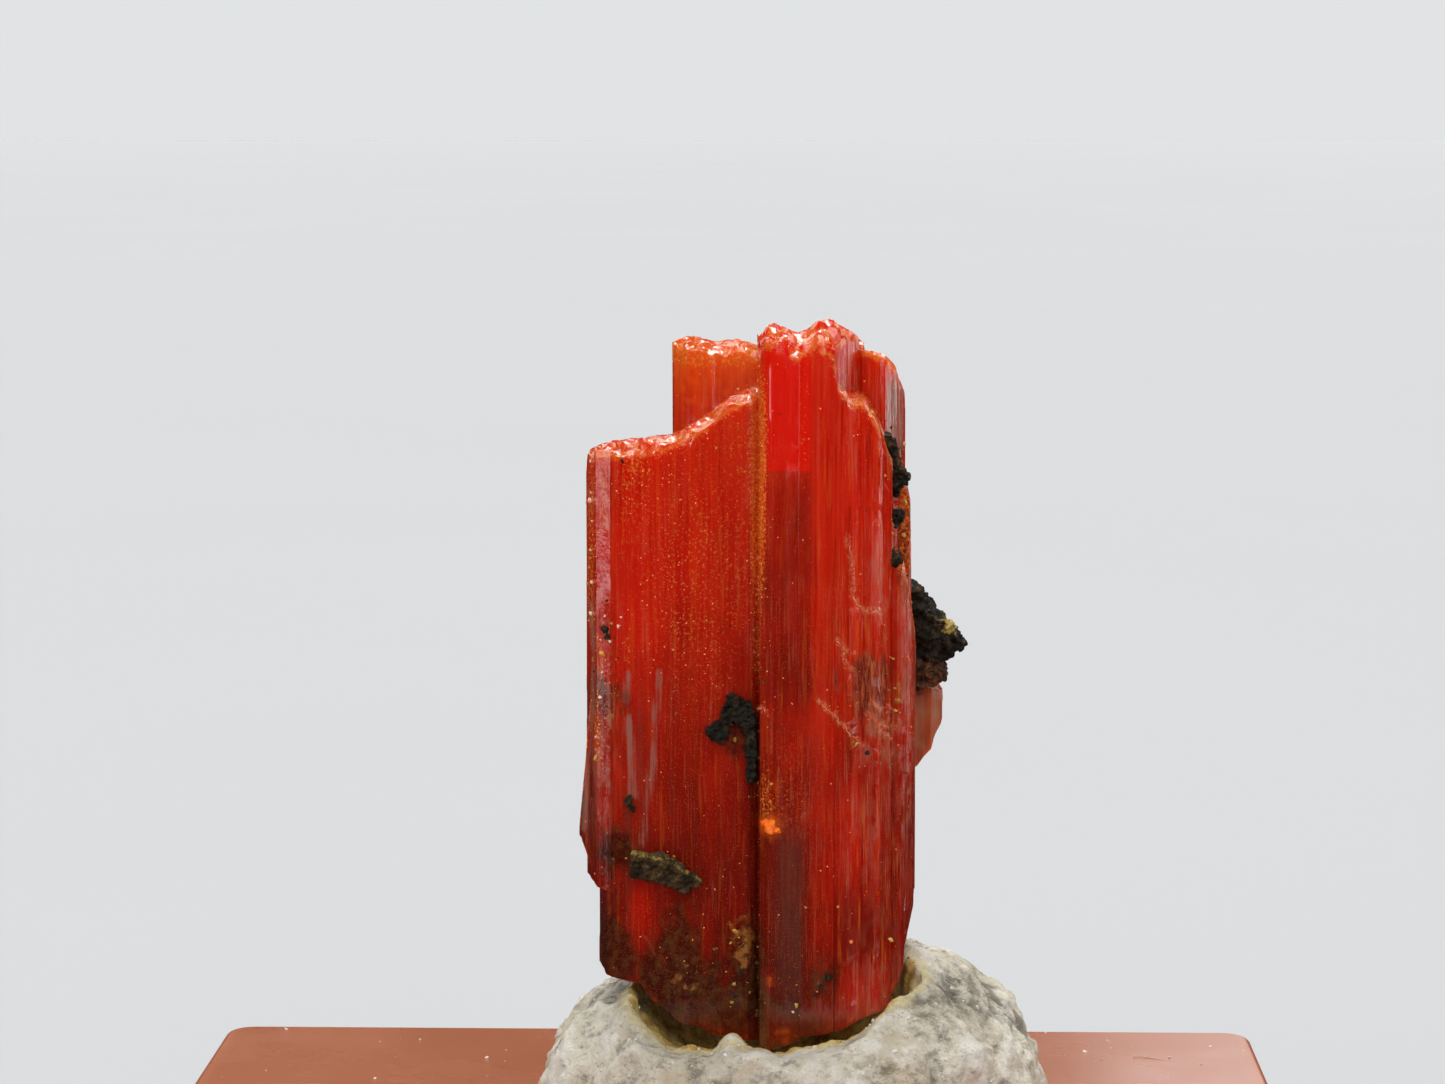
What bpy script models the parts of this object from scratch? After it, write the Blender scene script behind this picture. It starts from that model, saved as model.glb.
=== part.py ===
"""A crocoite crystal group whose foot is pressed into putty on a small display slab.

Sizes are in millimetres here and become metres where a mesh is made. The origin is the middle
of the slab's underside. +Z is up, +X is the specimen's right and +Y points to its back.
"""

import math

import bmesh
import bpy
from mathutils import Matrix, Vector, noise

MM = 0.001

# Slab
SLAB_SIDE = 31.75
SLAB_HEIGHT = 6.35
SLAB_CORNER_RADIUS = 0.9
SLAB_CORNER_SEGMENTS = 6
SLAB_EDGE_RADIUS = 0.25
SLAB_EDGE_SEGMENTS = 3
SLAB_SHARP_ANGLE = 50.0

# Clearance kept between pieces that touch
CONTACT_GAP = 0.05

# Putty lump
PUTTY_CENTRE = (1.85, 0.2)
PUTTY_BASE_HALF_WIDTH = 8.1
PUTTY_TOP_HALF_WIDTH = 7.6
PUTTY_DEPTH_RATIO = 0.94
PUTTY_TOP = 13.15
PUTTY_UNDER = 2.8
PUTTY_TILT = 0.03
PUTTY_CAGE_SIDES = 10
PUTTY_SMOOTHING = 3
PUTTY_RELIEF = 0.5
PUTTY_RELIEF_SIZE = 3.2
HOLLOW_CENTRE = (1.35, -1.9, 12.4)
HOLLOW_HALF_AXES = (3.9, 3.0, 3.4)
HOLLOW_SEGMENTS = 32
UNDER_SQUARE = [(-12.0, -12.0), (12.0, -12.0), (12.0, 12.0), (-12.0, 12.0)]

# Crystal group: plan outlines are (x, y), counter-clockwise from above, and crown and foot
# lines are (x, z) from left to right, drawn at the depth of the front faces
CRYSTAL_BOTTOM = 8.6
CRYSTAL_TOP = 31.0
BOTTOM_STEP = 0.07
CUTTER_REACH = 2.5
CUTTER_DEPTH = 24.0
FRONT = -2.6
WELD = 0.0001

LEFT_BLADE_PLAN = [
    (-3.25, -0.80), (-3.02, -1.75), (-2.75, -2.15), (0.72, -2.05),
    (1.25, -1.60), (1.25, 1.40), (-2.50, 1.55), (-3.10, 0.95),
]
LEFT_BLADE_CROWN = [
    (-3.60, 25.90), (-3.15, 26.03), (-1.70, 26.20), (-0.80, 26.45),
    (-0.25, 26.85), (0.40, 27.35), (1.35, 27.62),
]
LEFT_RIB_PLAN = [(-3.53, -0.85), (-3.22, -1.72), (-2.80, -1.95), (-2.60, 0.75), (-3.30, 0.62)]
LEFT_RIB_CROWN = [(-3.70, 25.82), (-3.20, 26.00), (-2.50, 26.02)]
LEFT_RIB_FOOT = [(-3.90, 14.75), (-3.30, 14.35), (-2.70, 14.20)]
LEFT_BULGE_PLAN = [(-3.76, -0.70), (-3.58, -1.25), (-3.05, -1.35), (-3.05, 0.35), (-3.62, 0.20)]
LEFT_BULGE_CROWN = [(-3.80, 15.90), (-3.60, 17.90), (-3.45, 19.60), (-2.95, 19.90)]
LEFT_BULGE_FOOT = [(-3.80, 15.55), (-3.60, 15.10), (-3.40, 14.60), (-2.95, 14.50)]
BACK_LEFT_PLAN = [
    (-1.42, 2.30), (-1.36, 1.30), (-1.00, 0.70), (1.30, 0.72),
    (1.75, 1.60), (1.30, 2.95), (0.40, 3.25), (-1.00, 3.00),
]
BACK_LEFT_CROWN = [
    (-1.50, 28.75), (-0.95, 29.00), (-0.25, 28.80), (0.30, 28.90), (0.95, 28.70), (1.80, 28.55),
]
BACK_CENTRE_PLAN = [
    (0.90, 1.70), (1.60, 0.80), (3.00, 0.90), (3.70, 1.60), (3.30, 2.75), (2.10, 3.10), (1.15, 2.80),
]
BACK_CENTRE_CROWN = [(0.80, 25.60), (1.72, 25.95), (2.35, 25.10), (2.90, 24.70), (3.85, 23.90)]
WINDOW_PLAN = [
    (0.98, -1.85), (1.06, -2.38), (1.34, -2.66), (2.05, -2.72), (2.35, -1.20), (2.20, 1.00), (1.00, 0.95),
]
WINDOW_CROWN = [(0.90, 29.05), (1.18, 29.22), (1.45, 29.26), (1.72, 29.02), (2.12, 28.98), (2.50, 29.00)]
CENTRE_PLAN = [
    (1.98, -2.40), (2.08, -2.82), (3.02, -2.80), (3.35, -2.20), (3.30, 1.65), (1.90, 2.05), (1.55, 0.55),
]
CENTRE_CROWN = [(1.90, 29.02), (2.25, 29.14), (2.66, 29.40), (2.92, 29.32), (3.50, 29.15)]
FRONT_RIGHT_PLAN = [(2.50, -2.10), (2.62, -2.76), (4.20, -2.72), (4.50, -2.48), (4.56, -0.95), (2.45, -0.75)]
FRONT_RIGHT_CROWN = [
    (2.60, 28.80), (2.98, 28.60), (3.08, 27.80), (3.40, 27.45),
    (3.79, 27.32), (4.07, 26.87), (4.33, 26.30), (4.70, 25.50),
]
BACK_RIGHT_PLAN = [
    (2.85, -1.70), (3.70, -1.98), (4.32, -1.70), (4.80, -0.95),
    (4.90, 0.60), (4.35, 1.75), (2.80, 1.95), (2.60, 0.40),
]
BACK_RIGHT_CROWN = [
    (2.50, 29.10), (3.26, 29.06), (3.72, 28.76), (4.26, 28.62), (4.62, 28.33), (4.95, 27.63),
]
RIGHT_EDGE_PLAN = [
    (4.00, -2.30), (4.72, -2.28), (5.08, -1.72), (5.20, -0.25), (4.98, 1.15), (4.20, 1.50), (3.60, 0.40),
]
RIGHT_EDGE_CROWN = [(3.50, 23.90), (4.53, 23.34), (4.85, 23.08), (5.02, 22.20), (5.12, 21.30), (5.30, 20.60)]
RIGHT_FLANK_PLAN = [(4.20, -1.10), (5.02, -1.00), (5.05, 0.40), (4.60, 1.05), (4.10, 0.60)]
RIGHT_FLANK_CROWN = [(4.00, 26.40), (4.70, 26.10), (4.90, 25.40), (5.10, 24.60)]

# Name, plan outline, crown line, and how far the crown rises towards the back in mm a mm
PRISMS = [
    ("left_blade", LEFT_BLADE_PLAN, LEFT_BLADE_CROWN, -0.05),
    ("left_rib", LEFT_RIB_PLAN, LEFT_RIB_CROWN, -0.05),
    ("left_bulge", LEFT_BULGE_PLAN, LEFT_BULGE_CROWN, 0.0),
    ("back_left", BACK_LEFT_PLAN, BACK_LEFT_CROWN, -0.10),
    ("back_centre", BACK_CENTRE_PLAN, BACK_CENTRE_CROWN, -0.20),
    ("window", WINDOW_PLAN, WINDOW_CROWN, -0.12),
    ("centre", CENTRE_PLAN, CENTRE_CROWN, -0.08),
    ("front_right", FRONT_RIGHT_PLAN, FRONT_RIGHT_CROWN, 0.10),
    ("back_right", BACK_RIGHT_PLAN, BACK_RIGHT_CROWN, -0.15),
    ("right_edge", RIGHT_EDGE_PLAN, RIGHT_EDGE_CROWN, -0.10),
    ("right_flank", RIGHT_FLANK_PLAN, RIGHT_FLANK_CROWN, -0.10),
]
PRISM_FEET = {"left_rib": LEFT_RIB_FOOT, "left_bulge": LEFT_BULGE_FOOT}

FOOT_LINE = [
    (-3.40, 12.10), (-3.16, 12.04), (-2.12, 11.78), (-1.72, 11.24), (-0.93, 10.70), (0.40, 10.30),
    (1.34, 10.14), (2.13, 10.45), (3.46, 10.83), (4.38, 11.29), (4.80, 12.00), (5.02, 13.30), (5.40, 15.40),
]

# Side crystal
SIDE_PLAN = [(4.62, 1.25), (4.95, 0.55), (5.62, 0.50), (5.97, 1.10), (5.66, 1.82), (5.00, 1.90)]
SIDE_CROWN = [(4.40, 19.62), (5.40, 19.55), (6.20, 19.30)]
SIDE_FOOT = [(4.40, 17.00), (5.25, 17.25), (5.62, 17.70), (6.05, 18.60)]

# Matrix pieces: name, centre, half sizes, turn in degrees about Y, seed
GOSSAN_PIECES = [
    ("gossan_lump_right", (5.62, 0.70, 20.75), (0.88, 0.95, 1.20), 24.0, 3.0),
    ("gossan_wedge_left", (-1.42, -2.38, 14.86), (1.08, 0.36, 0.36), 19.0, 11.0),
    ("gossan_crust_groove", (0.42, -2.22, 18.50), (0.54, 0.36, 1.12), -8.0, 19.0),
    ("gossan_bit_upper", (4.72, -1.72, 25.62), (0.30, 0.34, 0.42), 14.0, 27.0),
    ("gossan_bit_middle", (4.80, -1.55, 24.62), (0.28, 0.34, 0.36), -10.0, 35.0),
    ("gossan_bit_lower", (4.82, -1.62, 23.42), (0.30, 0.36, 0.34), 25.0, 43.0),
]
LUMP_SUBDIVISIONS = 3
LUMP_ROUGHNESS = 0.30
LUMP_PATTERN = 1.6

# Finishes: colour, roughness, transmission
CROCOITE = ((0.62, 0.03, 0.006), 0.2, 0.2)
PALE_CROCOITE = ((0.35, 0.12, 0.06), 0.3, 0.3)
GOSSAN = ((0.03, 0.018, 0.01), 0.85, 0.0)
PUTTY = ((0.50, 0.45, 0.36), 0.8, 0.0)
SALMON = ((0.62, 0.24, 0.14), 0.35, 0.0)


def clear_scene():
    """Removes whatever the scene holds."""
    for thing in list(bpy.data.objects):
        bpy.data.objects.remove(thing, do_unlink=True)


def new_collection(name):
    """Adds a collection to the scene."""
    made = bpy.data.collections.new(name)
    bpy.context.scene.collection.children.link(made)
    return made


def finish(name, values):
    """A Principled material from a colour, a roughness and a transmission."""
    colour, roughness, transmission = values
    made = bpy.data.materials.new(name)
    made.use_nodes = True
    shader = made.node_tree.nodes["Principled BSDF"]
    shader.inputs["Base Color"].default_value = (*colour, 1.0)
    shader.inputs["Roughness"].default_value = roughness
    shader.inputs["Metallic"].default_value = 0.0
    shader.inputs["Transmission Weight"].default_value = transmission
    return made


def add_object(name, mesh, collection):
    """Links a mesh into a collection as an object at the origin."""
    made = bpy.data.objects.new(name, mesh)
    collection.objects.link(made)
    return made


def move_to(thing, collection):
    """Takes an object out of its collections and puts it in another."""
    for holder in list(thing.users_collection):
        holder.objects.unlink(thing)
    collection.objects.link(thing)


def as_guide(thing):
    """Marks an object as a cutter or a joined shape, drawn as wire only."""
    thing.hide_render = True
    thing.display_type = "WIRE"
    return thing


def offset_outline(points, distance):
    """Moves a counter-clockwise outline outwards by a distance, with mitred corners."""
    moved = []
    for index, point in enumerate(points):
        here = Vector(point)
        before = (here - Vector(points[index - 1])).normalized()
        after = (Vector(points[(index + 1) % len(points)]) - here).normalized()
        normal_before = Vector((before.y, -before.x))
        normal_after = Vector((after.y, -after.x))
        mitre = (normal_before + normal_after) / (1.0 + normal_before.dot(normal_after))
        moved.append(tuple(here + mitre * distance))
    return moved


def filled_outline_mesh(points, depth):
    """Fills a flat outline and gives it a depth along its normal, as a welded mesh."""
    curve = bpy.data.curves.new("outline", "CURVE")
    curve.dimensions = "2D"
    curve.fill_mode = "BOTH"
    curve.extrude = depth * MM / 2
    spline = curve.splines.new("POLY")
    spline.points.add(len(points) - 1)
    spline.use_cyclic_u = True
    for control, (x, y) in zip(spline.points, points):
        control.co = (x * MM, y * MM, 0.0, 1.0)
    holder = bpy.data.objects.new("outline", curve)
    bpy.context.scene.collection.objects.link(holder)
    evaluated = holder.evaluated_get(bpy.context.evaluated_depsgraph_get())
    mesh = bpy.data.meshes.new_from_object(evaluated)
    bpy.data.objects.remove(holder)
    work = bmesh.new()
    work.from_mesh(mesh)
    bmesh.ops.remove_doubles(work, verts=work.verts, dist=WELD * MM)
    bmesh.ops.recalc_face_normals(work, faces=work.faces)
    work.to_mesh(mesh)
    work.free()
    return mesh


def standing_prism(name, plan, bottom, top, collection):
    """A prism on a plan outline between two heights."""
    mesh = filled_outline_mesh(plan, top - bottom)
    mesh.transform(Matrix.Translation((0.0, 0.0, (bottom + top) / 2 * MM)))
    return add_object(name, mesh, collection)


def front_profile_cutter(name, line, upwards, slope, shift, collection):
    """A cutter bounded by a line (x, z) seen from the front, and open upwards or downwards."""
    far = CRYSTAL_TOP + CUTTER_REACH if upwards else CRYSTAL_BOTTOM - CUTTER_REACH
    (first_x, first_z), (last_x, last_z) = line[0], line[-1]
    outline = [(first_x - CUTTER_REACH, first_z), *line, (last_x + CUTTER_REACH, last_z)]
    outline += [(last_x + CUTTER_REACH, far), (first_x - CUTTER_REACH, far)]
    mesh = filled_outline_mesh(outline, CUTTER_DEPTH)
    mesh.transform(Matrix.Rotation(math.radians(90), 4, "X"))
    lean = Matrix.Identity(4)
    lean[2][1] = slope
    mesh.transform(lean)
    mesh.transform(Matrix.Translation((0.0, 0.0, (shift - slope * FRONT) * MM)))
    return as_guide(add_object(name, mesh, collection))


def boolean(target, tool, operation):
    """Adds an exact Boolean with one object."""
    step = target.modifiers.new(f"{operation.lower()} {tool.name}", "BOOLEAN")
    step.operation = operation
    step.solver = "EXACT"
    step.object = tool


def join_collection(target, collection):
    """Joins every object of a collection to the target in one exact Boolean."""
    step = target.modifiers.new(f"union {collection.name}", "BOOLEAN")
    step.operation = "UNION"
    step.solver = "EXACT"
    step.operand_type = "COLLECTION"
    step.collection = collection


def crystal_group(name, growth, collection, guides):
    """Joins the prisms in one object. A growth makes the cutter that keeps neighbours clear."""
    others = bpy.data.collections.new(f"{name}_prisms")
    guides.children.link(others)
    group = None
    for index, (label, plan, crown, slope) in enumerate(PRISMS):
        bottom = CRYSTAL_BOTTOM - index * BOTTOM_STEP
        holder = others if group else collection
        prism_name = f"{name}_{label}" if group else name
        prism = standing_prism(prism_name, offset_outline(plan, growth), bottom, CRYSTAL_TOP, holder)
        crown_cut = front_profile_cutter(f"{name}_{label}_crown", crown, True, slope, growth, guides)
        boolean(prism, crown_cut, "DIFFERENCE")
        if label in PRISM_FEET:
            foot_line = PRISM_FEET[label]
            foot_cut = front_profile_cutter(f"{name}_{label}_foot", foot_line, False, 0.0, -growth, guides)
            boolean(prism, foot_cut, "DIFFERENCE")
        if group:
            as_guide(prism)
        group = group or prism
    join_collection(group, others)
    foot = front_profile_cutter(f"{name}_foot", FOOT_LINE, False, 0.0, -growth, guides)
    boolean(group, foot, "DIFFERENCE")
    return group


def side_crystal(name, growth, collection, guides):
    """The small crystal beside the group, with a bevelled lower end."""
    prism = standing_prism(name, offset_outline(SIDE_PLAN, growth), CRYSTAL_BOTTOM, CRYSTAL_TOP, collection)
    crown_cut = front_profile_cutter(f"{name}_crown", SIDE_CROWN, True, 0.0, growth, guides)
    boolean(prism, crown_cut, "DIFFERENCE")
    foot_cut = front_profile_cutter(f"{name}_foot", SIDE_FOOT, False, 0.0, -growth, guides)
    boolean(prism, foot_cut, "DIFFERENCE")
    return prism


def rough_lump(name, centre, half_sizes, turn, seed, collection):
    """A lump of matrix: a sphere pushed in and out by a fixed noise pattern."""
    work = bmesh.new()
    bmesh.ops.create_icosphere(work, subdivisions=LUMP_SUBDIVISIONS, radius=1.0)
    for vertex in work.verts:
        swell = noise.noise(vertex.co * LUMP_PATTERN + Vector((seed, seed, seed)))
        vertex.co *= 1.0 + LUMP_ROUGHNESS * swell
    place = Matrix.Translation(Vector(centre) * MM)
    place @= Matrix.Rotation(math.radians(turn), 4, "Y")
    place @= Matrix.Diagonal((*(size * MM for size in half_sizes), 1.0))
    bmesh.ops.transform(work, matrix=place, verts=work.verts)
    mesh = bpy.data.meshes.new(name)
    work.to_mesh(mesh)
    work.free()
    return add_object(name, mesh, collection)


def slab(collection):
    """The display slab: a box with rounded corners and softened edges."""
    bpy.ops.mesh.primitive_cube_add(size=1.0)
    made = bpy.context.object
    made.name = "base_slab"
    made.data.transform(Matrix.Diagonal((SLAB_SIDE * MM, SLAB_SIDE * MM, SLAB_HEIGHT * MM, 1.0)))
    made.data.transform(Matrix.Translation((0.0, 0.0, SLAB_HEIGHT / 2 * MM)))
    weights = made.data.attributes.new("bevel_weight_edge", "FLOAT", "EDGE")
    for edge in made.data.edges:
        low, high = (made.data.vertices[end].co.z for end in edge.vertices)
        upright = abs(low - high) > SLAB_HEIGHT / 2 * MM
        weights.data[edge.index].value = 1.0 if upright else 0.0
    corners = made.modifiers.new("rounded corners", "BEVEL")
    corners.limit_method = "WEIGHT"
    corners.width = SLAB_CORNER_RADIUS * MM
    corners.segments = SLAB_CORNER_SEGMENTS
    edges = made.modifiers.new("softened edges", "BEVEL")
    edges.limit_method = "ANGLE"
    edges.angle_limit = math.radians(SLAB_SHARP_ANGLE)
    edges.width = SLAB_EDGE_RADIUS * MM
    edges.segments = SLAB_EDGE_SEGMENTS
    move_to(made, collection)
    return made


def putty_cage(collection):
    """The coarse cage of the putty lump: a low cone frustum, tilted a little."""
    base = SLAB_HEIGHT - PUTTY_UNDER
    work = bmesh.new()
    bmesh.ops.create_cone(
        work, cap_ends=True, segments=PUTTY_CAGE_SIDES, depth=(PUTTY_TOP - base) * MM,
        radius1=PUTTY_BASE_HALF_WIDTH * MM, radius2=PUTTY_TOP_HALF_WIDTH * MM,
    )
    shape = Matrix.Identity(4)
    shape[1][1] = PUTTY_DEPTH_RATIO
    shape[2][0] = PUTTY_TILT
    place = Matrix.Translation(Vector((*PUTTY_CENTRE, (PUTTY_TOP + base) / 2)) * MM)
    bmesh.ops.transform(work, matrix=place @ shape, verts=work.verts)
    mesh = bpy.data.meshes.new("mounting_putty")
    work.to_mesh(mesh)
    work.free()
    return add_object("mounting_putty", mesh, collection)


def putty_hollow(guides):
    """The cutter of the hollow pressed into the lump's front."""
    rings = HOLLOW_SEGMENTS // 2
    bpy.ops.mesh.primitive_uv_sphere_add(segments=HOLLOW_SEGMENTS, ring_count=rings, radius=1.0)
    hollow = bpy.context.object
    hollow.name = "putty_hollow"
    hollow.data.transform(Matrix.Diagonal((*(axis * MM for axis in HOLLOW_HALF_AXES), 1.0)))
    hollow.data.transform(Matrix.Translation(Vector(HOLLOW_CENTRE) * MM))
    move_to(hollow, guides)
    return as_guide(hollow)


def putty(collection, guides, crystal_cutter):
    """The putty lump, with its hollow and the seat of the crystal's foot."""
    made = putty_cage(collection)
    soften = made.modifiers.new("soft form", "SUBSURF")
    soften.levels = PUTTY_SMOOTHING
    soften.render_levels = PUTTY_SMOOTHING
    pattern = bpy.data.textures.new("putty relief", "CLOUDS")
    pattern.noise_scale = PUTTY_RELIEF_SIZE * MM
    relief = made.modifiers.new("pressed relief", "DISPLACE")
    relief.texture = pattern
    relief.texture_coords = "LOCAL"
    relief.strength = PUTTY_RELIEF * MM
    under = as_guide(standing_prism("putty_under", UNDER_SQUARE, 0.0, SLAB_HEIGHT + CONTACT_GAP, guides))
    boolean(made, under, "DIFFERENCE")
    boolean(made, putty_hollow(guides), "DIFFERENCE")
    boolean(made, crystal_cutter, "DIFFERENCE")
    return made


def build():
    """Makes every sub-part."""
    clear_scene()
    parts = new_collection("crocoite_crystal_specimen")
    guides = new_collection("cutters")
    gossan = finish("gossan", GOSSAN)

    slab(parts).data.materials.append(finish("salmon slab", SALMON))
    group = crystal_group("crocoite_crystal", 0.0, parts, guides)
    group.data.materials.append(finish("crocoite", CROCOITE))
    clearance = as_guide(crystal_group("crystal_clearance", CONTACT_GAP, guides, guides))
    beside = side_crystal("side_crystal", 0.0, parts, guides)
    beside.data.materials.append(finish("pale crocoite", PALE_CROCOITE))
    boolean(beside, clearance, "DIFFERENCE")
    beside_clearance = as_guide(side_crystal("side_clearance", CONTACT_GAP, guides, guides))
    putty(parts, guides, clearance).data.materials.append(finish("putty", PUTTY))
    for name, centre, half_sizes, turn, seed in GOSSAN_PIECES:
        lump = rough_lump(name, centre, half_sizes, turn, seed, parts)
        lump.data.materials.append(gossan)
        boolean(lump, clearance, "DIFFERENCE")
        if name == "gossan_lump_right":
            boolean(lump, beside_clearance, "DIFFERENCE")


build()
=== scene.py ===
"""Looks of a crocoite crystal that stands in putty on a small display slab."""

import math
from dataclasses import dataclass

import bmesh
import bpy
import numpy as np
from mathutils import Euler, Matrix, Vector, noise
from mathutils.bvhtree import BVHTree
from mathutils.geometry import delaunay_2d_cdt


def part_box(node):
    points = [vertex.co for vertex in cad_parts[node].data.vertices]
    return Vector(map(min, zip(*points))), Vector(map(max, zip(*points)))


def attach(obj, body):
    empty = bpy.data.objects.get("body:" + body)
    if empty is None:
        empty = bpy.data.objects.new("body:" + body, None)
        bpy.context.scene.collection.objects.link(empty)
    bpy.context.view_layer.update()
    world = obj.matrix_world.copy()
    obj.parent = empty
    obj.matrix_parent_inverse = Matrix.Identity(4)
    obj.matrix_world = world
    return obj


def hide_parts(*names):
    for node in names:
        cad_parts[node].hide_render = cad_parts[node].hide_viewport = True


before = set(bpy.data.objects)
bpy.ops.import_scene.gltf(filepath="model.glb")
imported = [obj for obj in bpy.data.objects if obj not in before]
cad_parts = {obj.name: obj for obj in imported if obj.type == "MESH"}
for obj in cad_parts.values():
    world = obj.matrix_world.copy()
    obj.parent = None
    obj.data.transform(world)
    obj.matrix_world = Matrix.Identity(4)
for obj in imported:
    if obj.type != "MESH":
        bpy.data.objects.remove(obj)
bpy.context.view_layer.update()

# Sizes are in millimetres, as on the specimen's own drawing. Meshes become metres when they are done.
MM = 0.001
BODY = "root"

# Depth at which the lines of the crowns and of the foot are drawn
FRONT = -2.6

# Where the crystal ends below, from left to right
FOOT_LINE = (
    (-3.4, 12.1), (-3.16, 12.04), (-2.12, 11.78), (-1.72, 11.24), (-0.93, 10.7), (0.4, 10.3),
    (1.34, 10.14), (2.13, 10.45), (3.46, 10.83), (4.38, 11.29), (4.8, 12.0), (5.02, 13.3),
    (5.4, 15.4),
)

# How far back the broken slope in front of a crown reaches
BEVEL_REACH = 0.85

# Mesh fineness
ROW_HEIGHT = 0.14
CAP_STEP = 0.1
RIM_DROPS = (0.3, 0.19, 0.1, 0.035, 0.0)
RIM_CHIP = (0.0, 0.12, 0.4, 0.75, 1.0)
SPLINTERS_PER_MM2 = 7.0
GROWTH_STEPS_PER_COLUMN = 0.45
MOST_PROUD = 0.02
FOOT_ROUGHNESS = 0.1
EDGE_STEP = 0.06
CHIP_VOXEL = 0.016
PUTTY_VOXEL = 0.1

# Points nearer than the first depth are on the crystal's front, and those past the second on its back
FRONT_FACE = -0.6
BACK_FACE = 0.6


@dataclass
class Prism:
    """One prism: its plan from above, its broken top, its foot and how deeply it is striated."""

    plan: list
    crown: list
    slope: float
    tilt: float
    strides: tuple
    depth: float
    foot: tuple = FOOT_LINE
    ledges: tuple = ()
    bevel: float = 0.12

    def top(self, x, y):
        line_x, line_z = zip(*self.crown)
        front = min(corner[1] for corner in self.plan)
        short = np.clip(1.0 - (y - front) / BEVEL_REACH, 0.0, 1.0)
        return np.interp(x, line_x, line_z) + self.slope * (y - FRONT) - self.bevel * short

    def bottom(self, x, y):
        line_x, line_z = zip(*self.foot)
        return np.interp(x, line_x, line_z)


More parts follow.
